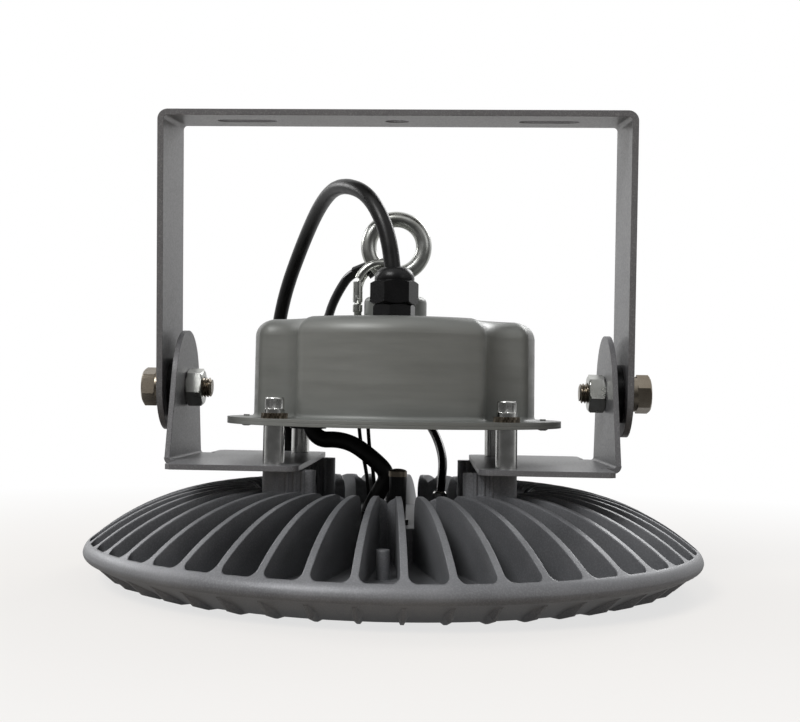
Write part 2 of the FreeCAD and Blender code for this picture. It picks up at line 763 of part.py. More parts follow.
def tooth_layer(x, y, z0, z1, turn):
    points = []
    count = TOOTHED_COUNT * 4
    for i in range(count):
        a = 2 * math.pi * i / count + turn
        r = TOOTHED_R if i % 4 < 2 else TOOTHED_R - TOOTHED_DEPTH
        points.append((x + r * math.cos(a), y + r * math.sin(a)))
    return prism(points, z0, z1)


def toothed_washers():
    # The lower half of each tooth is turned against its upper half, as on a twisted tooth
    z0 = FLANGE_TOP_Z
    z1 = z0 + TOOTHED_T
    middle = (z0 + z1) / 2
    washers = []
    for x, y in BOSSES:
        low = tooth_layer(x, y, z0, middle, 0.0)
        high = tooth_layer(x, y, middle, z1, math.pi / TOOTHED_COUNT / 2)
        washers.append(low.fuse(high).cut(rod(M5_CLEAR_R, z0 - 1, z1 + 1, x, y)))
    return group(washers)


# Driver housing

def housing_block(inset, z0, z1):
    # Round body with four hollows round the post screws; inset gives the inner face
    body = rod(HOUSE_R - inset, z0, z1)
    for x, y in NOTCHES:
        body = body.cut(rod(NOTCH_R + inset, z0 - 1, z1 + 1, x, y))
    uprights = []
    for edge in body.Edges:
        if edge.BoundBox.ZLength > (z1 - z0) * 0.9 and edge.BoundBox.XLength < 1e-6:
            middle = edge.CenterOfMass
            near = min(math.hypot(middle.x - x, middle.y - y) for x, y in NOTCHES)
            if near < NOTCH_R + inset + 1.0:
                uprights.append(edge)
    body = body.makeFillet(NOTCH_BLEND - inset, uprights)
    rims = []
    for edge in body.Edges:
        b = edge.BoundBox
        if b.ZLength < 1e-6 and abs(b.ZMin - z1) < 1e-6:
            rims.append(edge)
    return body.makeFillet(TOP_FILLET - inset, rims)


def driver_housing():
    outer = housing_block(0.0, FLANGE_Z, HOUSE_TOP_Z)
    body = outer.fuse(rod(FLANGE_R, FLANGE_Z, FLANGE_TOP_Z)).removeSplitter()
    foot = []
    for edge in body.Edges:
        b = edge.BoundBox
        inside = math.hypot(edge.CenterOfMass.x, edge.CenterOfMass.y) < HOUSE_R + 1
        whole = b.XLength > 2 * FLANGE_R - 1
        if b.ZLength < 1e-6 and abs(b.ZMin - FLANGE_TOP_Z) < 1e-6 and inside and not whole:
            foot.append(edge)
    body = body.makeFillet(FOOT_FILLET, foot)
    body = body.cut(housing_block(SHEET_T, FLANGE_Z - 1, HOUSE_TOP_Z - SHEET_T))
    holes = [rod(M5_CLEAR_R, FLANGE_Z - 1, FLANGE_TOP_Z + 1, x, y) for x, y in BOSSES]
    for x in (-COVER_SCREW_X, COVER_SCREW_X):
        holes.append(rod(M3_R + 0.05, FLANGE_Z - 1, FLANGE_TOP_Z + 1, x, 0))
    holes.append(rod(GLAND_THREAD_R + 0.1, HOUSE_TOP_Z - 5, HOUSE_TOP_Z + 1, GLAND_X, GLAND_Y))
    holes.append(rod(M8_R + 0.5, HOUSE_TOP_Z - 5, HOUSE_TOP_Z + 1))
    return body.cut(group(holes))


def cover_plate():
    plate = rod(FLANGE_R, COVER_Z, FLANGE_Z)
    holes = [rod(M5_CLEAR_R, COVER_Z - 1, FLANGE_Z + 1, x, y) for x, y in BOSSES]
    for x in (-COVER_SCREW_X, COVER_SCREW_X):
        holes.append(rod(M3_CLEAR_R, COVER_Z - 1, FLANGE_Z + 1, x, 0))
    holes.append(rod(GROMMET_HOLE_R, COVER_Z - 1, FLANGE_Z + 1, GROMMET_X, GROMMET_Y))
    for route in WIRE_ROUTES:
        holes.append(rod(WIRE_R + WIRE_CLEAR, COVER_Z - 1, FLANGE_Z + 1, route[0][0], route[0][1]))
    for x, y in DRIVER_FEET:
        holes.append(rod(M3_R + 0.05, COVER_Z - 1, FLANGE_Z + 1, x, y))
    return plate.cut(group(holes))


def grommet(cable):
    z0 = COVER_Z - 1.8
    z1 = FLANGE_Z + 1.6
    r = GROMMET_HOLE_R - 0.02
    lip = GROMMET_HOLE_R + GROMMET_LIP
    body = revolved([(0, z0), (lip - 0.6, z0), (lip, COVER_Z), (r, COVER_Z), (r, FLANGE_Z),
                     (lip, FLANGE_Z), (lip - 0.6, z1), (0, z1)], GROMMET_X, GROMMET_Y)
    return body.cut(cable)


def cover_screws():
    # Their heads are under the cover plate and their tips stand out above the flange
    z = COVER_Z
    low = z - COVER_HEAD_H
    screws = []
    for x in (-COVER_SCREW_X, COVER_SCREW_X):
        head = revolved([(0, z), (COVER_HEAD_R, z), (COVER_HEAD_R, z - 0.6), (COVER_HEAD_R - 0.8, low + 0.3),
                         (COVER_HEAD_R - 1.7, low), (0, low)], x, 0)
        cross = box(x - CROSS_HALF, x + CROSS_HALF, -CROSS_HALF_W, CROSS_HALF_W, low - 1, low + 1.0)
        cross = cross.fuse(box(x - CROSS_HALF_W, x + CROSS_HALF_W, -CROSS_HALF, CROSS_HALF, low - 1, low + 1.0))
        screws.append(head.cut(cross).fuse(rod(M3_R, z - 0.3, FLANGE_TOP_Z + COVER_TAIL, x, 0)))
    return group(screws)


# Driver inside the housing


def driver_case():
    z = FLANGE_Z
    body = box(-DRIVER_X, DRIVER_X, DRIVER_Y0, DRIVER_Y1, z, z + DRIVER_H)
    uprights = [e for e in body.Edges if e.BoundBox.ZLength > DRIVER_H * 0.9]
    body = body.makeFillet(3.0, uprights)
    for x, y in DRIVER_FEET:
        foot = box(x - 6, x + 6, DRIVER_Y1 - 1, y + 6, z, z + FOOT_T)
        body = body.fuse(foot).cut(rod(M3_R + 0.15, z - 1, z + FOOT_T + 1, x, y))
    return body


def driver_screws():
    z = FLANGE_Z + FOOT_T
    screws = []
    for x, y in DRIVER_FEET:
        screws.append(rod(COVER_HEAD_R, z, z + 1.8, x, y).fuse(rod(M3_R, COVER_Z + 0.1, z + 0.5, x, y)))
    return group(screws)


def terminal_block():
    x0, x1, y0, y1 = BLOCK
    body = box(x0, x1, y0, y1, FLANGE_Z, FLANGE_Z + BLOCK_H)
    wells = []
    for i in range(3):
        x = x0 + (i + 0.5) * (x1 - x0) / 3
        wells.append(rod(2.4, FLANGE_Z + BLOCK_H - 6, FLANGE_Z + BLOCK_H + 1, x, (y0 + y1) / 2))
    return body.cut(group(wells))


# Gland

def gland_body():
    z = HOUSE_TOP_Z
    base = chamfered_hexagon(GLAND_BASE_FLATS, z, GLAND_NUT_Z, 20, GLAND_X, GLAND_Y)
    neck = rod(GLAND_NECK_R, GLAND_NUT_Z - 1, GLAND_NUT_Z + GLAND_NECK_H, GLAND_X, GLAND_Y)
    thread = rod(GLAND_THREAD_R, z - SHEET_T - LOCKNUT_H - 2.5, z + 1, GLAND_X, GLAND_Y)
    bore = rod(MAINS_R + 1.2, z - 20, GLAND_NUT_Z + 20, GLAND_X, GLAND_Y)
    return base.fuse([neck, thread]).cut(bore)


def gland_nut():
    z0 = GLAND_NUT_Z
    z1 = z0 + GLAND_NUT_H
    body = chamfered_hexagon(GLAND_NUT_FLATS, z0, z1, 8, GLAND_X, GLAND_Y)
    r = GLAND_NUT_FLATS / 2 - 0.6
    zt = GLAND_DOME_Z
    x, y = GLAND_X, GLAND_Y
    top = GLAND_DOME_TOP_R
    shoulder = V(x + top + (r - top) * 0.72, y, z1 + (zt - z1) * 0.68)
    edges = [
        Part.LineSegment(V(x, y, z1 - 1), V(x + r, y, z1 - 1)).toShape(),
        Part.LineSegment(V(x + r, y, z1 - 1), V(x + r, y, z1)).toShape(),
        Part.Arc(V(x + r, y, z1), shoulder, V(x + top, y, zt)).toShape(),
        Part.LineSegment(V(x + top, y, zt), V(x, y, zt)).toShape(),
        Part.LineSegment(V(x, y, zt), V(x, y, z1 - 1)).toShape(),
    ]
    dome = Part.Face(Part.Wire(edges)).revolve(V(x, y, 0), V(0, 0, 1), 360)
    body = body.fuse(dome)
    floor = z0 + GLAND_NECK_H + 0.05
    body = body.cut(rod(GLAND_NECK_R + 0.05, z0 - 1, floor, x, y))
    # The mouth opens a little towards the top, where the cable starts to bend
    low = MAINS_R + 0.25
    high = MAINS_R + 1.0
    mouth = revolved([(0, floor - 1), (low, floor - 1), (low, floor), (high, zt), (high, zt + 1), (0, zt + 1)],
                     x, y)
    return body.cut(mouth)


def gland_seal():
    z0 = GLAND_NUT_Z - 4
    z1 = GLAND_NUT_Z + GLAND_NECK_H
    return tube(MAINS_R + 1.15, MAINS_R + 0.01, z0, z1, GLAND_X, GLAND_Y)


def gland_locknut():
    z1 = HOUSE_TOP_Z - SHEET_T
    nut = chamfered_hexagon(LOCKNUT_FLATS, z1 - LOCKNUT_H, z1, 8, GLAND_X, GLAND_Y)
    return nut.cut(rod(GLAND_THREAD_R + 0.05, z1 - 20, z1 + 1, GLAND_X, GLAND_Y))


# Eye bolt

def eye_boss():
    z0 = HOUSE_TOP_Z
    z1 = EYE_BOSS_TOP_Z
    body = rod(EYE_BOSS_R, z0, z1)
    rims = [e for e in body.Edges if e.BoundBox.ZLength < 1e-6 and abs(e.BoundBox.ZMin - z1) < 1e-6]
    body = body.makeFillet(3.0, rims)
    return body.cut(rod(M8_R + 0.1, z0 - 1, z1 + 1))


def eye_bolt():
    z1 = EYE_BOSS_TOP_Z
    ring = Part.makeTorus(EYE_RING_R, EYE_WIRE_R, V(0, 0, EYE_Z), V(0, 1, 0))
    neck_top = EYE_Z - EYE_RING_R - 0.5
    neck = revolved([(0, z1), (EYE_COLLAR_R, z1), (EYE_COLLAR_R, z1 + 3.0), (6.2, z1 + 6.0),
                     (5.2, neck_top - 2), (4.0, neck_top), (0, neck_top)])
    shank = rod(M8_R, HOUSE_TOP_Z - SHEET_T - 12.0, z1 + 1)
    return neck.fuse([ring, shank]).removeSplitter()


def eye_washer():
    z1 = HOUSE_TOP_Z - SHEET_T
    return tube(10.0, M8_R + 0.2, z1 - 2.0, z1)


def eye_nut():
    z1 = HOUSE_TOP_Z - SHEET_T - 2.0
    return chamfered_hexagon(13.0, z1 - 6.5, z1, 0).cut(rod(M8_R + 0.05, z1 - 10, z1 + 1))


# Snap hook on the eye

def snap_hook():
    body = swept(HOOK_ROUTE, HOOK_R, "snap_hook")
    tongue = Part.makeCylinder(1.6, 1.6, V(HOOK_X - 0.8, -HOOK_Y, GATE_PIN_Z), V(1, 0, 0))
    stem = box(HOOK_X - 0.8, HOOK_X + 0.8, -HOOK_Y - 1.6, -HOOK_Y + 1.6, GATE_PIN_Z - 3.4, GATE_PIN_Z)
    collar = rod(GATE_R, HOOK_FOOT_Z + HOOK_R, GATE_PIN_Z - 2.6, HOOK_X, -HOOK_Y)
    body = body.fuse([tongue, stem, collar])
    pin = Part.makeCylinder(PIN_R, 2 * GATE_R + 2, V(HOOK_X - GATE_R - 1, -HOOK_Y, GATE_PIN_Z), V(1, 0, 0))
    return body.cut(pin)


def snap_gate():
    low = GATE_PIN_Z - 1.5
    body = rod(GATE_R, low, GATE_TOP_Z, HOOK_X, -HOOK_Y)
    slot = box(HOOK_X - 0.9, HOOK_X + 0.9, -HOOK_Y - 3, -HOOK_Y + 3, low - 1, GATE_PIN_Z + 2.2)
    hole = Part.makeCylinder(PIN_R + 0.05, 2 * GATE_R + 2, V(HOOK_X - GATE_R - 1, -HOOK_Y, GATE_PIN_Z),
                             V(1, 0, 0))
    return body.cut(slot).cut(hole)


def gate_pin():
    return Part.makeCylinder(PIN_R - 0.005, 2 * GATE_R, V(HOOK_X - GATE_R, -HOOK_Y, GATE_PIN_Z), V(1, 0, 0))


def mains_cores():
    # The three cores that stand out of the cable's cut sheath
    end = V(*MAINS_ROUTE[-1])
    along = (end - V(*MAINS_ROUTE[-2])).normalize()
    across = along.cross(V(0, 0, 1))
    cores = []
    for i in range(3):
        a = math.radians(90 + 120 * i)
        offset = across * (CORE_OFFSET * math.cos(a)) + V(0, 0, CORE_OFFSET * math.sin(a))
        cores.append(Part.makeCylinder(CORE_R, CORE_L - 2.5 * i, end + offset, along))
    return group(cores)


def rope_end(hook, rope):
    # An end fitting: an eye round the hook's rear limb and a sleeve on the rope
    high = V(*HOOK_ROUTE[6])
    low = V(*HOOK_ROUTE[7])
    centre = (high + low) * 0.5
    limb = (high - low).normalize()
    eye = Part.makeCylinder(ROPE_EYE_R, ROPE_EYE_T, centre - limb * (ROPE_EYE_T / 2), limb)
    first = V(*ROPE_ROUTE[0])
    along = (V(*ROPE_ROUTE[1]) - first).normalize()
    sleeve = Part.makeCylinder(SLEEVE_R, SLEEVE_L, first - along * 3.4, along)
    hole = Part.makeCylinder(HOOK_R + 0.12, 3 * ROPE_EYE_T, centre - limb * (1.5 * ROPE_EYE_T), limb)
    return eye.fuse(sleeve).cut(hole).cut(hook).cut(rope)


# Yoke and its bolts

def yoke():
    w = YOKE_W / 2
    x_in = YOKE_INNER_X
    x_out = x_in + YOKE_T
    z_in = PIVOT_Z + YOKE_RISE
    z_out = z_in + YOKE_T
    z_end = PIVOT_Z - YOKE_END_DROP
    r_out = YOKE_BEND_R
    r_in = r_out - YOKE_T
    k_out = r_out * (1 - math.sqrt(0.5))
    k_in = r_in * (1 - math.sqrt(0.5))

    def p(x, z):
        return V(x, -w, z)

    edges = [
        Part.LineSegment(p(-x_out, z_end), p(-x_out, z_out - r_out)).toShape(),
        Part.Arc(p(-x_out, z_out - r_out), p(-x_out + k_out, z_out - k_out),
                 p(-x_out + r_out, z_out)).toShape(),
        Part.LineSegment(p(-x_out + r_out, z_out), p(x_out - r_out, z_out)).toShape(),
        Part.Arc(p(x_out - r_out, z_out), p(x_out - k_out, z_out - k_out), p(x_out, z_out - r_out)).toShape(),
        Part.LineSegment(p(x_out, z_out - r_out), p(x_out, z_end)).toShape(),
        Part.LineSegment(p(x_out, z_end), p(x_in, z_end)).toShape(),
        Part.LineSegment(p(x_in, z_end), p(x_in, z_in - r_in)).toShape(),
        Part.Arc(p(x_in, z_in - r_in), p(x_in - k_in, z_in - k_in), p(x_in - r_in, z_in)).toShape(),
        Part.LineSegment(p(x_in - r_in, z_in), p(-x_in + r_in, z_in)).toShape(),
        Part.Arc(p(-x_in + r_in, z_in), p(-x_in + k_in, z_in - k_in), p(-x_in, z_in - r_in)).toShape(),
        Part.LineSegment(p(-x_in, z_in - r_in), p(-x_in, z_end)).toShape(),
        Part.LineSegment(p(-x_in, z_end), p(-x_out, z_end)).toShape(),
    ]
    body = Part.Face(Part.Wire(edges)).extrude(V(0, YOKE_W, 0))
    # The leg ends are half round, about a point a little above the pivot
    end_z = z_end + w
    keep = Part.makeCylinder(w, 2 * x_out + 2, V(-x_out - 1, 0, end_z), V(1, 0, 0))
    keep = keep.fuse(box(-x_out - 1, x_out + 1, -w - 1, w + 1, end_z, z_out + 1))
    body = body.common(keep)
    cuts = [rod(YOKE_HOLE_R, z_in - 1, z_out + 1)]
    half = YOKE_SLOT_L / 2 - YOKE_SLOT_W / 2
    for s in (-1, 1):
        c = s * YOKE_SLOT_X
        r = YOKE_SLOT_W / 2
        slot = box(c - half, c + half, -r, r, z_in - 1, z_out + 1)
        slot = slot.fuse([rod(r, z_in - 1, z_out + 1, c - half, 0), rod(r, z_in - 1, z_out + 1, c + half, 0)])
        cuts.append(slot)
    cuts.append(Part.makeCylinder(M10_HOLE_R, 2 * x_out + 20, V(-x_out - 10, 0, PIVOT_Z), V(1, 0, 0)))
    body = body.cut(group(cuts)).removeSplitter()
    body.rotate(V(0, 0, PIVOT_Z), V(1, 0, 0), YOKE_LEAN)
    return body


def along_pivot(shape, side):
    # Stands a shape made round Z on the pivot axis, its +Z pointing outward on that side
    turned = shape.copy()
    turned.rotate(V(0, 0, 0), V(0, 1, 0), 90 * side)
    turned.translate(V(0, 0, PIVOT_Z))
    return turned


def pivot_bolt(side, turn):
    head = chamfered_hexagon(M10_FLATS, BOLT_SEAT, BOLT_SEAT + M10_HEAD_H, turn, 0, 0, False, True)
    tail = NUT_INNER_X - M10_TAIL
    shank = revolved([(0, tail), (M10_R - 0.9, tail), (M10_R, tail + 0.9), (M10_R, BOLT_SEAT + 0.5),
                      (0, BOLT_SEAT + 0.5)])
    return along_pivot(head.fuse(shank), side)


def pivot_nut(side, turn):
    nut = chamfered_hexagon(M10_FLATS, NUT_INNER_X, EAR_INNER_X, turn)
    return along_pivot(nut.cut(rod(M10_R + 0.05, NUT_INNER_X - 1, EAR_INNER_X + 1)), side)


def spring_washer(side):
    z0 = BOLT_SEAT - SPRING_WASHER_T
    ring = tube(SPRING_WASHER_R, M10_R + 0.3, z0, BOLT_SEAT)
    split = box(0, 20, -SPRING_SPLIT / 2, SPRING_SPLIT / 2, z0 - 1, BOLT_SEAT + 1)
    split.rotate(V(0, 0, 0), V(0, 0, 1), 200)
    return along_pivot(ring.cut(split), side)


def flat_washer(side):
    z1 = BOLT_SEAT - SPRING_WASHER_T
    return along_pivot(tube(FLAT_WASHER_R, M10_R + 0.25, z1 - FLAT_WASHER_T, z1), side)


def friction_disc(side):
    z0 = LUG_OUTER_X
    z1 = YOKE_INNER_X - TURN_GAP
    return along_pivot(tube(DISC_R, M10_R + 0.2, z0, z1), side)


# Build every piece

output = swept(OUTPUT_ROUTE, OUTPUT_R, "output_cable")
rope = swept(ROPE_ROUTE, ROPE_R, "safety_rope")
mains = swept(MAINS_ROUTE, MAINS_R, "mains_cable")
wires = [swept(route, WIRE_R, "sensor_wire") for route in WIRE_ROUTES]
hook = snap_hook()

save("heat_sink", heat_sink())
save("hub_bushing", hub_bushing(output))
save("vent_plug", vent_plug())
save("vent_cap", vent_cap())
save("rope_stud", rope_stud(rope))
save("led_board", led_board())
save("led_chips", led_chips())
save("led_board_screws", board_screws())
save("lens_gasket", lens_gasket())
save("lens", lens())
save("lens_ring", lens_ring())
save("lens_ring_screws", lens_ring_screws())
save("lug_bracket_left", lug_bracket(-1))
save("lug_bracket_right", lug_bracket(1))
save("posts", posts())
save("post_screws", post_screws())
save("post_spring_washers", post_spring_washers())
save("toothed_washers", toothed_washers())
save("driver_housing", driver_housing())
save("cover_plate", cover_plate())
save("cable_grommet", grommet(output))
save("cover_screws", cover_screws())
save("driver_case", driver_case())
save("driver_screws", driver_screws())
save("terminal_block", terminal_block())
save("gland_body", gland_body())
save("gland_nut", gland_nut())
save("gland_seal", gland_seal())
save("gland_locknut", gland_locknut())
save("eye_boss", eye_boss())
save("eye_bolt", eye_bolt())
save("eye_washer", eye_washer())
save("eye_nut", eye_nut())
save("snap_hook", hook)
save("snap_gate", snap_gate())
save("gate_pin", gate_pin())
save("rope_end", rope_end(hook, rope))
save("yoke", yoke())
for side, word, turn in ((-1, "left", 9), (1, "right", 12)):
    save("pivot_bolt_" + word, pivot_bolt(side, turn))
    save("pivot_nut_" + word, pivot_nut(side, turn + 6))
    save("spring_washer_" + word, spring_washer(side))
    save("flat_washer_" + word, flat_washer(side))
    save("friction_disc_" + word, friction_disc(side))
save("output_cable", output)
save("safety_rope", rope)
save("mains_cable", mains)
save("mains_cores", mains_cores())
save("sensor_wire_1", wires[0])
save("sensor_wire_2", wires[1])
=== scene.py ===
# %% [markdown]
# # A high bay light
# This lesson dresses a round finned lamp that hangs in a warehouse. The solids come from a packed
# model, so every piece is already in its place and to size. Here they get their surfaces, and the
# pieces that need finer modelling, such as screw threads and the mains cable, are made anew.

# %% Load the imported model
import json
import math

import bmesh
import bpy
from mathutils import Euler, Matrix, Vector


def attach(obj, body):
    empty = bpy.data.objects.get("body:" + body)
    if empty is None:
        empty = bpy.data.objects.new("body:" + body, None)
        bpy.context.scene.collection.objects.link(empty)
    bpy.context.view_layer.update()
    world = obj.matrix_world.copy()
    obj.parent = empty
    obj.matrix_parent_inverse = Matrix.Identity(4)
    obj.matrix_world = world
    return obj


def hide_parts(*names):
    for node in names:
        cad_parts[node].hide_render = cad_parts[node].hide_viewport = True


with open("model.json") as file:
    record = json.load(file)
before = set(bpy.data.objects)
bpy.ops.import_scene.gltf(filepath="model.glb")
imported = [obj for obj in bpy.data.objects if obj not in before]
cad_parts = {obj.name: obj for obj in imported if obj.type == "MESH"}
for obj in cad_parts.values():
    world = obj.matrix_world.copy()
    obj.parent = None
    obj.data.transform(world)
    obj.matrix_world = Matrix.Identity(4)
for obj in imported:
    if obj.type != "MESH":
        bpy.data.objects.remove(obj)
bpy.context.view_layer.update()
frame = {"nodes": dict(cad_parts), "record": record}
nodes = frame["nodes"]
MM = 0.001

# %% [markdown]
# The camera stands in front of the lamp at the height of its bolts and looks slightly up. Its
# place and lens were worked out from the lamp's own circles. A small shift keeps the lamp where
# the picture has it without turning the camera.

# %% The camera
CAMERA_PLACE = Vector((18.77, -599.36, 88.83)) * MM
CAMERA_HEADING = 0.0526
CAMERA_PITCH = 0.0764
CAMERA_ROLL = 0.0166

camera_data = bpy.data.cameras.new("camera")
camera_data.sensor_width = 36.0
camera_data.lens = 53.40
camera_data.shift_x = 0.0372
camera_data.shift_y = -0.0695
camera_data.clip_start = 0.01
camera = bpy.data.objects.new("camera", camera_data)
bpy.context.scene.collection.objects.link(camera)
aim = Euler((math.pi / 2 + CAMERA_PITCH, 0.0, CAMERA_HEADING)).to_matrix()
aim = aim @ Matrix.Rotation(CAMERA_ROLL, 3, "Z")
camera.matrix_world = Matrix.Translation(CAMERA_PLACE) @ aim.to_4x4()
bpy.context.scene.camera = camera
print("camera at", [round(c, 3) for c in CAMERA_PLACE])

# %% [markdown]
# The mains cable is a round rubber lead. It leaves the gland straight up, bends over under its
# own weight, comes down behind the housing and ends on the floor behind the lamp. A NURBS curve
# draws such a line well: its control points pull the line without making corners in it.

# %% The mains cable
MAINS_ROUTE = [
    (0.8, -45.0, 126.2),
    (0.8, -45.0, 155.8),
    (-10.5, -35.8, 185.0),
    (-27.4, -9.0, 195.8),
    (-39.7, 20.0, 192.6),
    (-53.0, 54.0, 175.4),
    (-67.4, 79.0, 144.3),
    (-73.0, 90.0, 111.0),
    (-63.5, 91.0, 74.0),
    (-67.5, 113.0, 49.0),
    (-80.0, 137.0, 27.0),
    (-84.0, 163.0, 6.0),
    (-70.0, 186.0, 4.0),
    (-38.0, 189.8, 4.0),
    (-2.0, 186.0, 4.0),
    (34.0, 189.8, 4.0),
    (70.0, 184.0, 4.0),
    (100.0, 166.0, 4.0),
    (118.0, 141.0, 4.0),
]
MAINS_DIAMETER = 7.8


def smooth_line(name, points, radius):
    """A round tube along a NURBS curve whose control points are given in millimetres."""
    curve = bpy.data.curves.new(name, "CURVE")
    curve.dimensions = "3D"
    spline = curve.splines.new("NURBS")
    spline.points.add(len(points) - 1)
    for point, place in zip(spline.points, points):
        point.co = (*(c * MM for c in place), 1.0)
        point.radius = radius * MM
    spline.order_u = 3
    spline.use_endpoint_u = True
    curve.resolution_u = 12
    curve.bevel_depth = 1.0
    curve.bevel_resolution = 8
    curve.use_fill_caps = True
    piece = bpy.data.objects.new(name, curve)
    bpy.context.scene.collection.objects.link(piece)
    return piece


mains = smooth_line("mains_lead", MAINS_ROUTE, MAINS_DIAMETER / 2)
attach(mains, "lamp")
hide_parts("mains_cable")

# %% [markdown]
# Every finish is a small network of nodes, and a few helpers keep the cells short. They turn a hex
# colour into the linear numbers that the shader wants, add a node with its settings and links,
# start a material, draw a noise, spread or mix its values, and give the shader its relief.

# %% Helpers for materials
STREAK_SCALE = (1.0, 1.0, 9.0)


def linear(code):
    """An sRGB hex colour as linear red, green, blue and alpha."""
    parts = [int(code[i:i + 2], 16) / 255 for i in (1, 3, 5)]
    return [c / 12.92 if c <= 0.04045 else ((c + 0.055) / 1.055) ** 2.4 for c in parts] + [1.0]


def add(tree, kind, settings=(), links=()):
    """Adds one node; a setting is a socket or a property, a link joins a socket to a source."""
    made = tree.nodes.new(kind)
    for name, value in dict(settings).items():
        if isinstance(name, int) or name in made.inputs:
            made.inputs[name].default_value = value
        else:
            setattr(made, name, value)
    for name, source in dict(links).items():
        tree.links.new(source, made.inputs[name])
    return made


def per_mm(size):
    """The texture scale at which one cell of a pattern is that many millimetres."""
    return 1000.0 / size


def new_material(name, **shader):
    """A material with its shader's constant sockets set, and its tree and object coordinates."""
    material = bpy.data.materials.new(name)
    material.use_nodes = True
    tree = material.node_tree
    bsdf = tree.nodes["Principled BSDF"]
    for socket, value in shader.items():
        bsdf.inputs[socket.replace("_", " ")].default_value = value
    where = add(tree, "ShaderNodeTexCoord").outputs["Object"]
    return material, tree, bsdf, where


def streaks(tree, where):
    """Coordinates squeezed along z, so that a noise on them runs in level streaks."""
    return add(tree, "ShaderNodeMapping", {"Scale": STREAK_SCALE},
               {"Vector": where}).outputs["Vector"]


def noise(tree, where, size, detail=3.0, rough=0.5):
    """A soft random pattern whose cells are that many millimetres across."""
    return add(tree, "ShaderNodeTexNoise",
               {"Scale": per_mm(size), "Detail": detail, "Roughness": rough},
               {"Vector": where}).outputs["Fac"]


def ramp(tree, factor, low, high, dark, light):
    """Spreads a factor between two positions over two values, grey or colour."""
    node = add(tree, "ShaderNodeValToRGB", (), {"Fac": factor})
    for index, position, value in ((0, low, dark), (1, high, light)):
        element = node.color_ramp.elements[index]
        element.position = position
        element.color = value if isinstance(value, list) else [value, value, value, 1.0]
    return node.outputs["Color"]


def mix(tree, factor, first, second):
    """A colour between two colours; each is a list or a socket."""
    node = add(tree, "ShaderNodeMix", {"data_type": "RGBA"})
    for index, value in ((0, factor), (6, first), (7, second)):
        if isinstance(value, (list, float)):
            node.inputs[index].default_value = value
        else:
            tree.links.new(value, node.inputs[index])
    return node.outputs[2]


def bump(tree, bsdf, height, depth_mm, strength=1.0, edge_mm=0.0):
    """Relief from a height; with an edge radius, sharp edges also catch light as if rounded."""
    node = add(tree, "ShaderNodeBump", {"Strength": strength, "Distance": depth_mm * MM},
               {"Height": height})
    if edge_mm:
        soft = add(tree, "ShaderNodeBevel", {"samples": 4, "Radius": edge_mm * MM})
        tree.links.new(soft.outputs["Normal"], node.inputs["Normal"])
    tree.links.new(node.outputs["Normal"], bsdf.inputs["Normal"])


materials = {}
print("material helpers ready")

# %% [markdown]
# The heat sink is die-cast aluminium with a thin silver-grey lacquer. The casting skin leaves a
# fine grain, about half a millimetre across, and the lacquer is a little uneven from fin to fin.

# %% Lacquered aluminium casting
mat, tree, bsdf, where = new_material("lacquered_casting", Metallic=0.35, IOR=1.5)
cloud = noise(tree, where, 38.0, 4.0)
grain = noise(tree, where, 0.7, 2.0)
tone = ramp(tree, cloud, 0.35, 0.7, linear("#66676A"), linear("#797A7D"))
fleck = mix(tree, ramp(tree, grain, 0.45, 0.65, 0.0, 0.22), tone, linear("#9B9C9E"))
tree.links.new(fleck, bsdf.inputs["Base Color"])
tree.links.new(ramp(tree, cloud, 0.3, 0.7, 0.42, 0.54), bsdf.inputs["Roughness"])
bump(tree, bsdf, grain, 0.05, 0.35, edge_mm=0.9)
materials["cast_aluminium"] = mat
print("made", mat.name)

# %% [markdown]
# The driver housing is a steel pressing with a satin grey paint. Sprayed paint has a very shallow
# orange peel a few millimetres across, and handling has left it slightly smeared.

# %% Satin grey paint on the housing
mat, tree, bsdf, where = new_material("satin_grey_paint", Metallic=0.15, IOR=1.5)
smear = noise(tree, streaks(tree, where), 40.0, 5.0, 0.6)
peel = noise(tree, where, 2.4, 1.0)
tone = ramp(tree, smear, 0.3, 0.72, linear("#6F716E"), linear("#777976"))
tree.links.new(tone, bsdf.inputs["Base Color"])
tree.links.new(ramp(tree, smear, 0.3, 0.75, 0.34, 0.5), bsdf.inputs["Roughness"])
bump(tree, bsdf, peel, 0.03, 0.35, edge_mm=0.5)
materials["grey_paint"] = mat
print("made", mat.name)

# %% [markdown]
# The yoke and the lug brackets are steel strip with a metallic grey powder coat. Powder melts into
# fine dimples, about a millimetre apart, with small bright flakes in it.

# %% Powder-coated strip
mat, tree, bsdf, where = new_material("powder_coated_strip", Metallic=0.1, IOR=1.5,
                                      Specular_IOR_Level=0.15)
dimple = noise(tree, where, 1.1, 2.0)
flake = noise(tree, where, 0.6, 1.0)
tone = ramp(tree, noise(tree, where, 45.0, 3.0), 0.3, 0.7, linear("#616163"), linear("#6A6A6C"))
fleck = mix(tree, ramp(tree, flake, 0.5, 0.7, 0.0, 0.3), tone, linear("#9A9A9B"))
tree.links.new(fleck, bsdf.inputs["Base Color"])
tree.links.new(ramp(tree, dimple, 0.3, 0.7, 0.3, 0.42), bsdf.inputs["Roughness"])
bump(tree, bsdf, dimple, 0.03, 0.25, edge_mm=0.5)
materials["grey_strip"] = mat
print("made", mat.name)

# %% [markdown]
# Bolts, nuts and washers are turned or stamped steel, passivated to a slightly warm tint. Fine
# lines from the tool cross the flats.

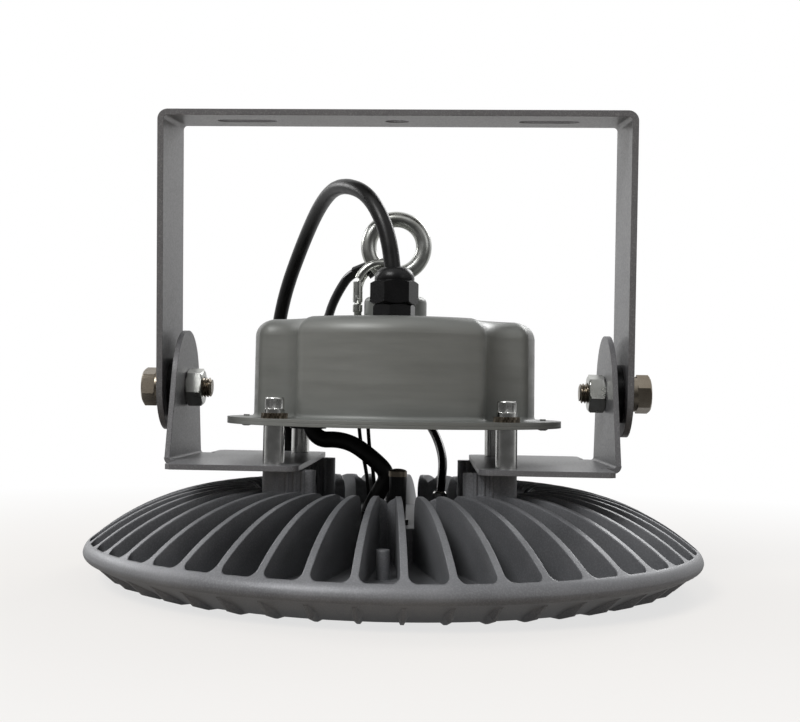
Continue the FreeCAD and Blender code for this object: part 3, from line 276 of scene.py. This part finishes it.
# %% Passivated steel
mat, tree, bsdf, where = new_material("passivated_steel", Metallic=1.0)
lines = noise(tree, streaks(tree, where), 1.4, 3.0)
tint = ramp(tree, noise(tree, where, 12.0, 2.0), 0.3, 0.7, linear("#766D60"), linear("#8E867A"))
tree.links.new(tint, bsdf.inputs["Base Color"])
tree.links.new(ramp(tree, lines, 0.3, 0.7, 0.26, 0.34), bsdf.inputs["Roughness"])
bump(tree, bsdf, lines, 0.01, 0.1)
materials["plain_steel"] = mat
print("made", mat.name)

# %% [markdown]
# The posts and the screws are nickel-plated and bright. Plating is smooth, with faint clouds where
# fingers dulled it.

# %% Bright plating
mat, tree, bsdf, where = new_material("nickel_plate", Metallic=1.0)
dull = noise(tree, where, 6.0, 4.0)
tone = ramp(tree, dull, 0.3, 0.75, linear("#C4C4C1"), linear("#D6D6D4"))
tree.links.new(tone, bsdf.inputs["Base Color"])
tree.links.new(ramp(tree, dull, 0.3, 0.75, 0.12, 0.26), bsdf.inputs["Roughness"])
bump(tree, bsdf, noise(tree, where, 0.8, 2.0), 0.01, 0.25)
materials["bright_chrome"] = mat
print("made", mat.name)

# %% [markdown]
# The eye bolt and the snap hook are forged or bent first and zinc-plated after. Zinc comes out
# greyer and softer than nickel, with a slight yellow cast and small rubbed patches.

# %% Zinc plating
mat, tree, bsdf, where = new_material("zinc_plate", Metallic=1.0)
rub = noise(tree, where, 9.0, 3.0)
tone = ramp(tree, rub, 0.3, 0.7, linear("#A3A49D"), linear("#BDBEBB"))
tree.links.new(tone, bsdf.inputs["Base Color"])
tree.links.new(ramp(tree, rub, 0.3, 0.7, 0.24, 0.34), bsdf.inputs["Roughness"])
ZINC = mat
print("made", mat.name)

# %% [markdown]
# The gland, the vent plug and the hub bushing are moulded from black nylon. A moulded face keeps
# the spark-eroded grain of its tool. The dark fibre of the friction discs looks much the same.

# %% Black nylon
mat, tree, bsdf, where = new_material("black_nylon", IOR=1.5, Specular_IOR_Level=0.25)
grain = noise(tree, where, 0.5, 2.0)
tone = ramp(tree, noise(tree, where, 9.0, 3.0), 0.3, 0.7, linear("#0B0B0C"), linear("#131314"))
tree.links.new(tone, bsdf.inputs["Base Color"])
tree.links.new(ramp(tree, grain, 0.3, 0.7, 0.26, 0.36), bsdf.inputs["Roughness"])
bump(tree, bsdf, grain, 0.02, 0.15)
materials["black_nylon"] = mat
materials["friction_fibre"] = mat
print("made", mat.name)

# %% [markdown]
# The cables have an extruded rubber sheath. Extrusion leaves a dull sheen and slight waves along
# the length, and dust catches on it.

# %% Cable sheath
mat, tree, bsdf, where = new_material("cable_sheath", IOR=1.5, Specular_IOR_Level=0.25)
wave = noise(tree, where, 5.0, 4.0, 0.6)
tone = ramp(tree, wave, 0.35, 0.75, linear("#0C0C0C"), linear("#171717"))
tree.links.new(tone, bsdf.inputs["Base Color"])
tree.links.new(ramp(tree, wave, 0.3, 0.7, 0.3, 0.42), bsdf.inputs["Roughness"])
bump(tree, bsdf, noise(tree, where, 1.0, 2.0), 0.02, 0.3)
materials["black_rubber"] = mat
print("made", mat.name)

# %% [markdown]
# The safety rope is steel strand under a glossy black coat, so it shines more than the cables do.

# %% Glossy rope coat
mat, tree, bsdf, where = new_material("rope_coat", IOR=1.5, Specular_IOR_Level=0.3)
soft = noise(tree, where, 3.0, 3.0)
tone = ramp(tree, soft, 0.3, 0.7, linear("#0B0B0C"), linear("#161617"))
tree.links.new(tone, bsdf.inputs["Base Color"])
tree.links.new(ramp(tree, soft, 0.3, 0.7, 0.14, 0.24), bsdf.inputs["Roughness"])
bump(tree, bsdf, soft, 0.05, 0.2)
materials["black_coat"] = mat
print("made", mat.name)

# %% [markdown]
# Under the lamp are a toughened glass disc, a silicone gasket, a white circuit board and its rows
# of yellow LEDs. They show only from below.

# %% Glass, silicone, board and LEDs
mat, tree, bsdf, where = new_material("tempered_glass", IOR=1.5, Transmission_Weight=1.0)
smudge = noise(tree, where, 14.0, 4.0)
tone = ramp(tree, smudge, 0.4, 0.75, linear("#F4F8F6"), linear("#E6EEEA"))
tree.links.new(tone, bsdf.inputs["Base Color"])
tree.links.new(ramp(tree, smudge, 0.45, 0.8, 0.02, 0.12), bsdf.inputs["Roughness"])
materials["clear_glass"] = mat

mat, tree, bsdf, where = new_material("white_silicone", IOR=1.41, Roughness=0.6)
bloom = noise(tree, where, 4.0, 3.0)
tone = ramp(tree, bloom, 0.3, 0.7, linear("#D8D8D2"), linear("#E6E6E0"))
tree.links.new(tone, bsdf.inputs["Base Color"])
materials["silicone"] = mat

mat, tree, bsdf, where = new_material("white_solder_mask", IOR=1.5, Roughness=0.4)
mask = noise(tree, where, 10.0, 3.0)
tone = ramp(tree, mask, 0.3, 0.7, linear("#DEDEDA"), linear("#EAEAE6"))
tree.links.new(tone, bsdf.inputs["Base Color"])
bump(tree, bsdf, mask, 0.02, 0.2)
materials["board_white"] = mat

mat, tree, bsdf, where = new_material("phosphor_gel", IOR=1.41, Roughness=0.3)
gel = noise(tree, where, 0.8, 2.0)
tone = ramp(tree, gel, 0.3, 0.7, linear("#D9B23A"), linear("#EAC85A"))
tree.links.new(tone, bsdf.inputs["Base Color"])
materials["led_yellow"] = mat
print("made the four finishes under the lamp")

# %% [markdown]
# Inside the housing are the driver's folded aluminium case and a terminal block, and the cable's
# far end shows its insulated cores.

# %% Driver case, terminal block and cores
mat, tree, bsdf, where = new_material("folded_aluminium", Metallic=1.0)
rolled = noise(tree, where, 2.0, 3.0)
tone = ramp(tree, rolled, 0.3, 0.7, linear("#B4B6B8"), linear("#C8CACC"))
tree.links.new(tone, bsdf.inputs["Base Color"])
tree.links.new(ramp(tree, rolled, 0.3, 0.7, 0.3, 0.42), bsdf.inputs["Roughness"])
materials["driver_metal"] = mat

mat, tree, bsdf, where = new_material("white_polyamide", IOR=1.53, Roughness=0.45)
skin = noise(tree, where, 3.0, 3.0)
tone = ramp(tree, skin, 0.3, 0.7, linear("#D2D2CA"), linear("#DEDED6"))
tree.links.new(tone, bsdf.inputs["Base Color"])
materials["block_white"] = mat

mat, tree, bsdf, where = new_material("core_insulation", IOR=1.52, Roughness=0.4)
skin = noise(tree, where, 2.0, 3.0)
tone = ramp(tree, skin, 0.3, 0.7, linear("#5A2C1A"), linear("#6E3A24"))
tree.links.new(tone, bsdf.inputs["Base Color"])
materials["copper_core"] = mat
print("made", len(materials), "finishes so far")

# %% [markdown]
# Some pieces have relief that is too fine for the solids: the screw threads and the knurled heads
# of the socket screws. Each is a stack of rings round an axis, where the radius may change with the
# angle. One function joins the rings into a closed skin, and marks every edge sharper than 30
# degrees, so flats stay flat and round faces look round.

# %% Helpers for turned pieces
SHARP = math.radians(30.0)


def ring_skin(name, stacks, place):
    """Closed skins from stacks of rings; a ring is a height and a radius for each angle."""
    mesh = bmesh.new()
    for rings, origin, turn in stacks:
        count = len(rings[0][1])
        layers = []
        for height, radii in rings:
            layer = []
            for i, radius in enumerate(radii):
                a = 2 * math.pi * i / count + turn
                spot = place(origin, radius * math.cos(a), radius * math.sin(a), height)
                layer.append(mesh.verts.new(spot))
            layers.append(layer)
        for low, high in zip(layers, layers[1:]):
            for i in range(count):
                k = (i + 1) % count
                mesh.faces.new((low[i], low[k], high[k], high[i]))
        mesh.faces.new(list(reversed(layers[0])))
        mesh.faces.new(layers[-1])
    bmesh.ops.recalc_face_normals(mesh, faces=mesh.faces)
    for face in mesh.faces:
        face.smooth = True
    for edge in mesh.edges:
        edge.smooth = len(edge.link_faces) == 2 and edge.calc_face_angle(0.0) < SHARP
    data = bpy.data.meshes.new(name)
    mesh.to_mesh(data)
    mesh.free()
    piece = bpy.data.objects.new(name, data)
    bpy.context.scene.collection.objects.link(piece)
    print(name, len(data.polygons), "faces")
    return piece


def upright(origin, a, b, height):
    """Puts a ring's point round a vertical axis through the origin."""
    return ((origin[0] + a) * MM, (origin[1] + b) * MM, height * MM)


def round_ring(radius, count):
    return [radius] * count


def hexagon_ring(flats, count, largest=100.0):
    """Radii of a hexagon, held to a largest radius where a cone has turned its corners off."""
    radii = []
    for i in range(count):
        a = (360.0 * i / count) % 60.0 - 30.0
        radii.append(min(flats / 2 / math.cos(math.radians(a)), largest))
    return radii


print("ring helpers ready")

# %% [markdown]
# The pivot bolts are M10 with a pitch of 1.5 mm. Their tips stand out of the nuts and show about
# three turns of thread, so the thread's ridge is modelled: its crest climbs one pitch a turn.

# %% Pivot bolts with a thread
PIVOT_Z = 92.0
BOLT_R = 5.0
BOLT_PITCH = 1.5
BOLT_DEPTH = 0.85
BOLT_FLATS = 17.0
BOLT_TIP_X = 92.4
NUT_FACE_X = 96.6
HEAD_SEAT_X = 120.42
HEAD_TOP_X = 127.22
HEAD_RIM = BOLT_FLATS / 2 * 0.96
HEAD_STEPS = (0.66, 0.33, 0.0)
CORNER_R = BOLT_FLATS / 2 / math.cos(math.radians(30))
CONE_FALL = math.tan(math.radians(30))
TIP_CHAMFER = 0.9
THREAD_FLAT = 0.12
THREAD_STEPS = 30
AROUND = 72


def along_pivot(side):
    """Puts rings round the pivot axis, with their heights growing outward to that side."""
    def place(origin, a, b, height):
        return (side * height * MM, b * MM, (PIVOT_Z - side * a) * MM)
    return place


def thread_ring(height, crest):
    """Radii round a thread at one height: flat at the crest and at the root, sloping between."""
    radii = []
    for i in range(AROUND):
        wave = abs(2.0 * ((height / BOLT_PITCH - i / AROUND) % 1.0) - 1.0)
        groove = min(max((wave - THREAD_FLAT) / (1.0 - 2 * THREAD_FLAT), 0.0), 1.0)
        radii.append(crest - BOLT_DEPTH * groove)
    return radii


def pivot_bolt(word, side, turn):
    rings = [(BOLT_TIP_X, round_ring(BOLT_R - TIP_CHAMFER - BOLT_DEPTH, AROUND))]
    for k in range(THREAD_STEPS + 1):
        height = BOLT_TIP_X + (NUT_FACE_X + 0.6 - BOLT_TIP_X) * k / THREAD_STEPS
        crest = min(BOLT_R, BOLT_R - TIP_CHAMFER + (height - BOLT_TIP_X))
        rings.append((height, thread_ring(height, crest)))
    rings.append((NUT_FACE_X + 1.0, round_ring(BOLT_R, AROUND)))
    rings.append((HEAD_SEAT_X, round_ring(BOLT_R, AROUND)))
    rings.append((HEAD_SEAT_X, hexagon_ring(BOLT_FLATS, AROUND)))
    rings.append((HEAD_TOP_X - (CORNER_R - HEAD_RIM) * CONE_FALL, hexagon_ring(BOLT_FLATS, AROUND)))
    for part in HEAD_STEPS:
        limit = HEAD_RIM + (CORNER_R - HEAD_RIM) * part
        rings.append((HEAD_TOP_X - (limit - HEAD_RIM) * CONE_FALL,
                      hexagon_ring(BOLT_FLATS, AROUND, limit)))
    rings.append((HEAD_TOP_X, round_ring(HEAD_RIM * 0.5, AROUND)))
    piece = ring_skin("bolt_with_thread_" + word, [(rings, None, math.radians(turn))],
                      along_pivot(side))
    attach(piece, "lamp")
    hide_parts("pivot_bolt_" + word)
    return piece


bolts = [pivot_bolt("left", -1, 9.0), pivot_bolt("right", 1, 12.0)]

# %% [markdown]
# A nut's corners are turned off by a cone at both faces, and that gives the curved arcs on its
# flats. Seen along the axis the cone is a circle, so each ring of the nut is a hexagon that is
# held to the circle's radius at that height. The two nuts came to rest at different angles.

# %% Pivot nuts
EAR_FACE_X = 104.8
NUT_RIM = BOLT_FLATS / 2 * 0.97
CONE_STEPS = (0.0, 0.35, 0.7, 1.0)


def pivot_nut(word, side, turn):
    rings = [(NUT_FACE_X + 0.6, round_ring(BOLT_R + 0.02, AROUND)),
             (NUT_FACE_X, round_ring(BOLT_R + 0.5, AROUND))]
    limits = [NUT_RIM + (CORNER_R - NUT_RIM) * part for part in CONE_STEPS]
    for limit in limits:
        rings.append((NUT_FACE_X + (limit - NUT_RIM) * CONE_FALL,
                      hexagon_ring(BOLT_FLATS, AROUND, limit)))
    for limit in reversed(limits):
        rings.append((EAR_FACE_X - (limit - NUT_RIM) * CONE_FALL,
                      hexagon_ring(BOLT_FLATS, AROUND, limit)))
    piece = ring_skin("chamfered_nut_" + word, [(rings, None, math.radians(turn))],
                      along_pivot(side))
    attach(piece, "lamp")
    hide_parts("pivot_nut_" + word)
    return piece


nuts = [pivot_nut("left", -1, 15.0), pivot_nut("right", 1, -15.0)]

# %% [markdown]
# The four socket screws on the housing's flange are M5. A fine straight knurl runs round each head,
# and a hexagonal socket goes down into it.

# %% Socket screws with a knurl
SCREW_PLACES = [(x, y) for x in (-53.0, 53.0) for y in (-56.0, 56.0)]
SCREW_R = 2.5
SCREW_HEAD_R = 4.4
SCREW_SEAT_Z = 82.1
SCREW_TOP_Z = 87.7
SCREW_TIP_Z = 42.1
SOCKET_FLATS = 4.0
SOCKET_DEPTH = 2.8
KNURLS = 40
KNURL_DEPTH = 0.24
ROUND = KNURLS * 6


def knurl_ring(radius):
    """Radii round a straight knurl of small V-shaped ridges."""
    radii = []
    for i in range(ROUND):
        wave = abs(2.0 * (i / 6.0 % 1.0) - 1.0)
        radii.append(radius - KNURL_DEPTH * wave)
    return radii


screw_rings = [
    (SCREW_TIP_Z, round_ring(SCREW_R - 0.5, ROUND)),
    (SCREW_TIP_Z + 0.5, round_ring(SCREW_R, ROUND)),
    (SCREW_SEAT_Z, round_ring(SCREW_R, ROUND)),
    (SCREW_SEAT_Z, round_ring(SCREW_HEAD_R - 0.3, ROUND)),
    (SCREW_SEAT_Z + 0.3, round_ring(SCREW_HEAD_R - 0.05, ROUND)),
    (SCREW_SEAT_Z + 0.55, knurl_ring(SCREW_HEAD_R)),
    (SCREW_TOP_Z - 0.95, knurl_ring(SCREW_HEAD_R)),
    (SCREW_TOP_Z - 0.7, round_ring(SCREW_HEAD_R - 0.08, ROUND)),
    (SCREW_TOP_Z - 0.35, round_ring(SCREW_HEAD_R - 0.16, ROUND)),
    (SCREW_TOP_Z - 0.08, round_ring(SCREW_HEAD_R - 0.4, ROUND)),
    (SCREW_TOP_Z, round_ring(SCREW_HEAD_R - 0.65, ROUND)),
    (SCREW_TOP_Z, [r + 0.25 for r in hexagon_ring(SOCKET_FLATS, ROUND)]),
    (SCREW_TOP_Z - 0.25, hexagon_ring(SOCKET_FLATS, ROUND)),
    (SCREW_TOP_Z - SOCKET_DEPTH, hexagon_ring(SOCKET_FLATS, ROUND)),
    (SCREW_TOP_Z - SOCKET_DEPTH - 0.7, round_ring(0.5, ROUND)),
]
screw_stacks = [(screw_rings, spot, math.radians(15 + 20 * i))
                for i, spot in enumerate(SCREW_PLACES)]
screws = ring_skin("screws_with_knurl", screw_stacks, upright)
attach(screws, "lamp")
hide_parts("post_screws")

# %% [markdown]
# The output cable, the safety rope and the two sensor wires are held at both ends. They get the
# same smooth line as the mains cable. The rope and the wires follow their solids, and the output
# cable bends a few millimetres more.

# %% Held cables and the rope
OUTPUT_ROUTE = [
    (-41.0, -30.0, 84.5),
    (-39.4, -30.0, 67.3),
    (-21.6, -30.0, 68.4),
    (-8.0, -30.0, 59.0),
    (-0.8, -30.0, 51.5),
    (-6.2, -30.0, 42.5),
    (-11.0, -30.0, 33.0),
    (-8.4, -30.0, 25.0),
    (-8.4, -30.0, 17.0),
]
ROPE_ROUTE = [
    (-18.0, 12.2, 154.4),
    (-24.4, 16.6, 152.3),
    (-30.0, 25.0, 145.6),
    (-35.0, 34.0, 137.6),
    (-38.2, 43.5, 129.6),
    (-43.0, 57.5, 127.0),
    (-46.5, 72.0, 118.0),
    (-43.0, 87.0, 106.5),
    (-31.0, 97.0, 97.5),
    (-15.0, 101.0, 93.5),
    (-1.5, 98.5, 89.5),
    (9.5, 93.0, 82.5),
    (18.0, 86.0, 73.5),
    (23.4, 75.5, 63.5),
    (25.8, 64.5, 53.5),
    (24.9, 56.0, 44.0),
    (23.8, 52.8, 34.0),
]
WIRE_1_ROUTE = [
    (-16.4, -20.0, 76.0),
    (-15.3, -20.0, 65.2),
    (-12.7, -20.0, 54.5),
    (-11.3, -19.0, 45.0),
    (-10.5, -18.4, 36.6),
    (-9.6, -18.2, 28.6),
]
WIRE_2_ROUTE = [
    (-12.0, -19.0, 76.0),
    (-11.3, -19.0, 65.0),
    (-9.5, -17.2, 55.0),
    (-8.4, -15.4, 45.0),
    (-7.6, -14.6, 36.8),
    (-6.6, -14.2, 28.7),
]
HELD = [("output_lead", OUTPUT_ROUTE, 3.9, "output_cable", "black_rubber"),
        ("coated_rope", ROPE_ROUTE, 2.5, "safety_rope", "black_coat"),
        ("sensor_lead_1", WIRE_1_ROUTE, 0.9, "sensor_wire_1", "black_rubber"),
        ("sensor_lead_2", WIRE_2_ROUTE, 0.9, "sensor_wire_2", "black_rubber")]


def held_line(name, route, radius, node, slot):
    """A smooth line that takes the place of a solid, with its slot's finish."""
    line = smooth_line(name, route, radius)
    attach(line, "lamp")
    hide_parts(node)
    line.data.materials.append(materials[slot])
    return line


for row in HELD:
    held_line(*row)
print("held lines:", [row[0] for row in HELD])

# %% [markdown]
# The snap hook is one bent wire, so it is a smooth line too. A short turned collar on its open
# end carries the gate, which keeps its own solid because it swings.

# %% Snap hook
HOOK_X = -18.7
HOOK_Y = 8.0
HOOK_FOOT_Z = 128.7
HOOK_R = 1.9
GATE_R = 2.4
GATE_PIN_Z = 137.2
HOOK_WIRE = [
    (-18.5, -HOOK_Y, 147.7),
    (-16.9, -HOOK_Y, 151.2),
    (-11.6, -HOOK_Y, 155.2),
    (-5.6, -6.4, 156.2),
    (-1.2, 0.0, 160.4),
    (-5.6, 6.4, 156.2),
    (-11.6, HOOK_Y, 155.2),
    (-16.9, HOOK_Y, 151.2),
    (-19.3, HOOK_Y, 145.0),
    (-19.6, HOOK_Y, 137.0),
    (-19.3, HOOK_Y, HOOK_FOOT_Z),
    (HOOK_X, -HOOK_Y, HOOK_FOOT_Z),
    (HOOK_X, -HOOK_Y, GATE_PIN_Z - 2.6),
]
hook = held_line("hook_wire", HOOK_WIRE, HOOK_R, "snap_hook", "bright_chrome")
hook.data.materials[0] = ZINC

collar_low = HOOK_FOOT_Z + HOOK_R
collar_high = GATE_PIN_Z - 2.6
collar_rings = [
    (collar_low, round_ring(HOOK_R, AROUND)),
    (collar_low + 0.5, round_ring(GATE_R, AROUND)),
    (collar_high - 0.4, round_ring(GATE_R, AROUND)),
    (collar_high, round_ring(GATE_R - 0.4, AROUND)),
    (collar_high, round_ring(1.3, AROUND)),
    (GATE_PIN_Z - 0.6, round_ring(0.75, AROUND)),
]
collar = ring_skin("hook_collar", [(collar_rings, (HOOK_X, -HOOK_Y), 0.0)], upright)
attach(collar, "lamp")
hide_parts("snap_hook")
collar.data.materials.append(ZINC)
print("snap hook:", hook.name, "and", collar.name)

# %% [markdown]
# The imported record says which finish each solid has, so one loop paints them all. A few pieces
# differ from their slot in the photograph: the eye bolt, the hook's gate and its pin are zinc, and
# the toothed washers and the vent cap are darker steel. The pieces made anew come after.

# %% Paint the solids
ZINC_PLATED = {"eye_bolt", "snap_gate", "gate_pin"}
DARK_STEEL = {"toothed_washers", "vent_cap"}
for part in frame["record"]["subparts"]:
    solid = nodes[part["node"]]
    solid.data.materials.clear()
    finish = materials[part["material_slot"]]
    if part["node"] in ZINC_PLATED:
        finish = ZINC
    if part["node"] in DARK_STEEL:
        finish = materials["plain_steel"]
    solid.data.materials.append(finish)
mains.data.materials.append(materials["black_rubber"])
screws.data.materials.append(materials["bright_chrome"])
for bolt in bolts:
    bolt.data.materials.append(materials["plain_steel"])
for nut in nuts:
    nut.data.materials.append(ZINC)

# %% [markdown]
# The stage is a plain pale floor and a pale sky. To the camera both are white, and only the floor's
# own shading near the lamp keeps its shadow. Light Path tells the rays apart, so the light on the
# lamp stays at a plain level. In mirrors and through glass the side towards the camera is dimmer,
# like the dark side of a studio, which gives plating its contrast. From below the floor is clear,
# so that the lens can be looked at.

# %% Floor and sky
FLOOR_HALF = 3.0
FLOOR_DROP = 0.0005
SKY_LIGHT = 0.28
ROOM_LIGHT = 0.1
BRIGHT_WAY = (0.0, 0.45, 0.9)


def larger(tree, first, second):
    """The larger of two values."""
    return add(tree, "ShaderNodeMath", {"operation": "MAXIMUM"}, {0: first, 1: second}).outputs[0]


def ray_kinds(tree):
    """1 for camera rays; and 1 for rays from the camera, from mirrors and through glass."""
    path = add(tree, "ShaderNodeLightPath").outputs
    mirrored_too = larger(tree, path["Is Camera Ray"], path["Is Glossy Ray"])
    return path["Is Camera Ray"], larger(tree, mirrored_too, path["Is Transmission Ray"])


def spread(tree, value, start, end, first, last):
    """Maps a value between start and end onto first to last."""
    return add(tree, "ShaderNodeMapRange",
               {"From Min": start, "From Max": end, "To Min": first, "To Max": last},
               {"Value": value}).outputs["Result"]


bpy.context.scene.view_settings.view_transform = "Standard"
world = bpy.data.worlds.new("pale_sky")
bpy.context.scene.world = world
world.use_nodes = True
sky = world.node_tree.nodes["Background"]
sky.inputs["Color"].default_value = linear("#FFFFFF")
tree = world.node_tree
way = add(tree, "ShaderNodeTexCoord").outputs["Generated"]
uphill = add(tree, "ShaderNodeVectorMath", {"operation": "DOT_PRODUCT", 1: BRIGHT_WAY}, {0: way})
mirrored = spread(tree, uphill.outputs["Value"], -0.25, 0.55, ROOM_LIGHT, 1.0)
camera_ray, seen = ray_kinds(tree)
white = larger(tree, mirrored, camera_ray)
strength = add(tree, "ShaderNodeMix", {2: SKY_LIGHT}, {0: seen, 3: white})
tree.links.new(strength.outputs[0], sky.inputs["Strength"])

floor_mesh = bpy.data.meshes.new("floor")
floor_corners = [(x * FLOOR_HALF, y * FLOOR_HALF, 0)
                 for x, y in ((-1, -1), (1, -1), (1, 1), (-1, 1))]
floor_mesh.from_pydata(floor_corners, [], [(0, 1, 2, 3)])
floor = bpy.data.objects.new("floor", floor_mesh)
bpy.context.scene.collection.objects.link(floor)
floor.location.z = -FLOOR_DROP
pale = bpy.data.materials.new("pale_floor")
pale.use_nodes = True
tree = pale.node_tree
shade = tree.nodes["Principled BSDF"]
shade.inputs["Base Color"].default_value = linear("#C2B6A8")
shade.inputs["Roughness"].default_value = 0.9
glow = add(tree, "ShaderNodeEmission", {"Color": linear("#FFFFFF")})
where = add(tree, "ShaderNodeTexCoord").outputs["Object"]
reach = add(tree, "ShaderNodeVectorMath", {"operation": "LENGTH"}, {0: where}).outputs["Value"]
fade = spread(tree, reach, 0.15, 0.6, 0.72, 1.0)
across = add(tree, "ShaderNodeSeparateXYZ", (), {"Vector": where}).outputs["Y"]
mirrored = spread(tree, across, -0.3, 0.4, ROOM_LIGHT, 0.8)
camera_ray, seen = ray_kinds(tree)
shine = add(tree, "ShaderNodeMix", {3: 1.0}, {0: camera_ray, 2: mirrored}).outputs[0]
tree.links.new(shine, glow.inputs["Strength"])
straight = add(tree, "ShaderNodeMix", {2: 1.0}, {0: camera_ray, 3: fade}).outputs[0]
share = add(tree, "ShaderNodeMath", {"operation": "MULTIPLY"}, {0: seen, 1: straight}).outputs[0]
top = add(tree, "ShaderNodeMixShader", (), {0: share, 1: shade.outputs[0], 2: glow.outputs[0]})
clear = add(tree, "ShaderNodeBsdfTransparent")
below = add(tree, "ShaderNodeNewGeometry").outputs["Backfacing"]
one_way = add(tree, "ShaderNodeMixShader", (), {0: below, 1: top.outputs[0], 2: clear.outputs[0]})
tree.links.new(one_way.outputs[0], tree.nodes["Material Output"].inputs["Surface"])
floor.data.materials.append(pale)
print("floor and sky ready")

# %% [markdown]
# A large soft lamp stands left of the camera and above it, and a much weaker one to the right fills
# the shadows. Behind the high bay light a third lamp lines its left side and a fourth lifts its
# back and top. Large lamps give the soft, broad highlights that grey paint and plating show.

# %% Lamps
LAMP_TARGET = Vector((0.0, 0.0, 0.11))
LAMPS = [("key", (-0.9, -1.4, 1.55), 30.0, 0.9, 0.7),
         ("fill", (1.5, -1.2, 0.7), 2.0, 0.8, 0.8),
         ("rim", (-1.4, 0.7, 0.8), 8.0, 0.8, 0.5),
         ("back", (1.0, 1.5, 1.2), 15.0, 0.9, 0.7)]


def soft_lamp(name, place, power, width, height):
    """A rectangular lamp that faces the high bay light; sizes in metres, power in watts."""
    data = bpy.data.lights.new(name, "AREA")
    data.shape = "RECTANGLE"
    data.size = width
    data.size_y = height
    data.energy = power
    lamp = bpy.data.objects.new(name, data)
    bpy.context.scene.collection.objects.link(lamp)
    lamp.location = place
    lamp.rotation_euler = (LAMP_TARGET - Vector(place)).to_track_quat("-Z", "Y").to_euler()


for row in LAMPS:
    soft_lamp(*row)
print("soft lamps:", [row[0] for row in LAMPS])
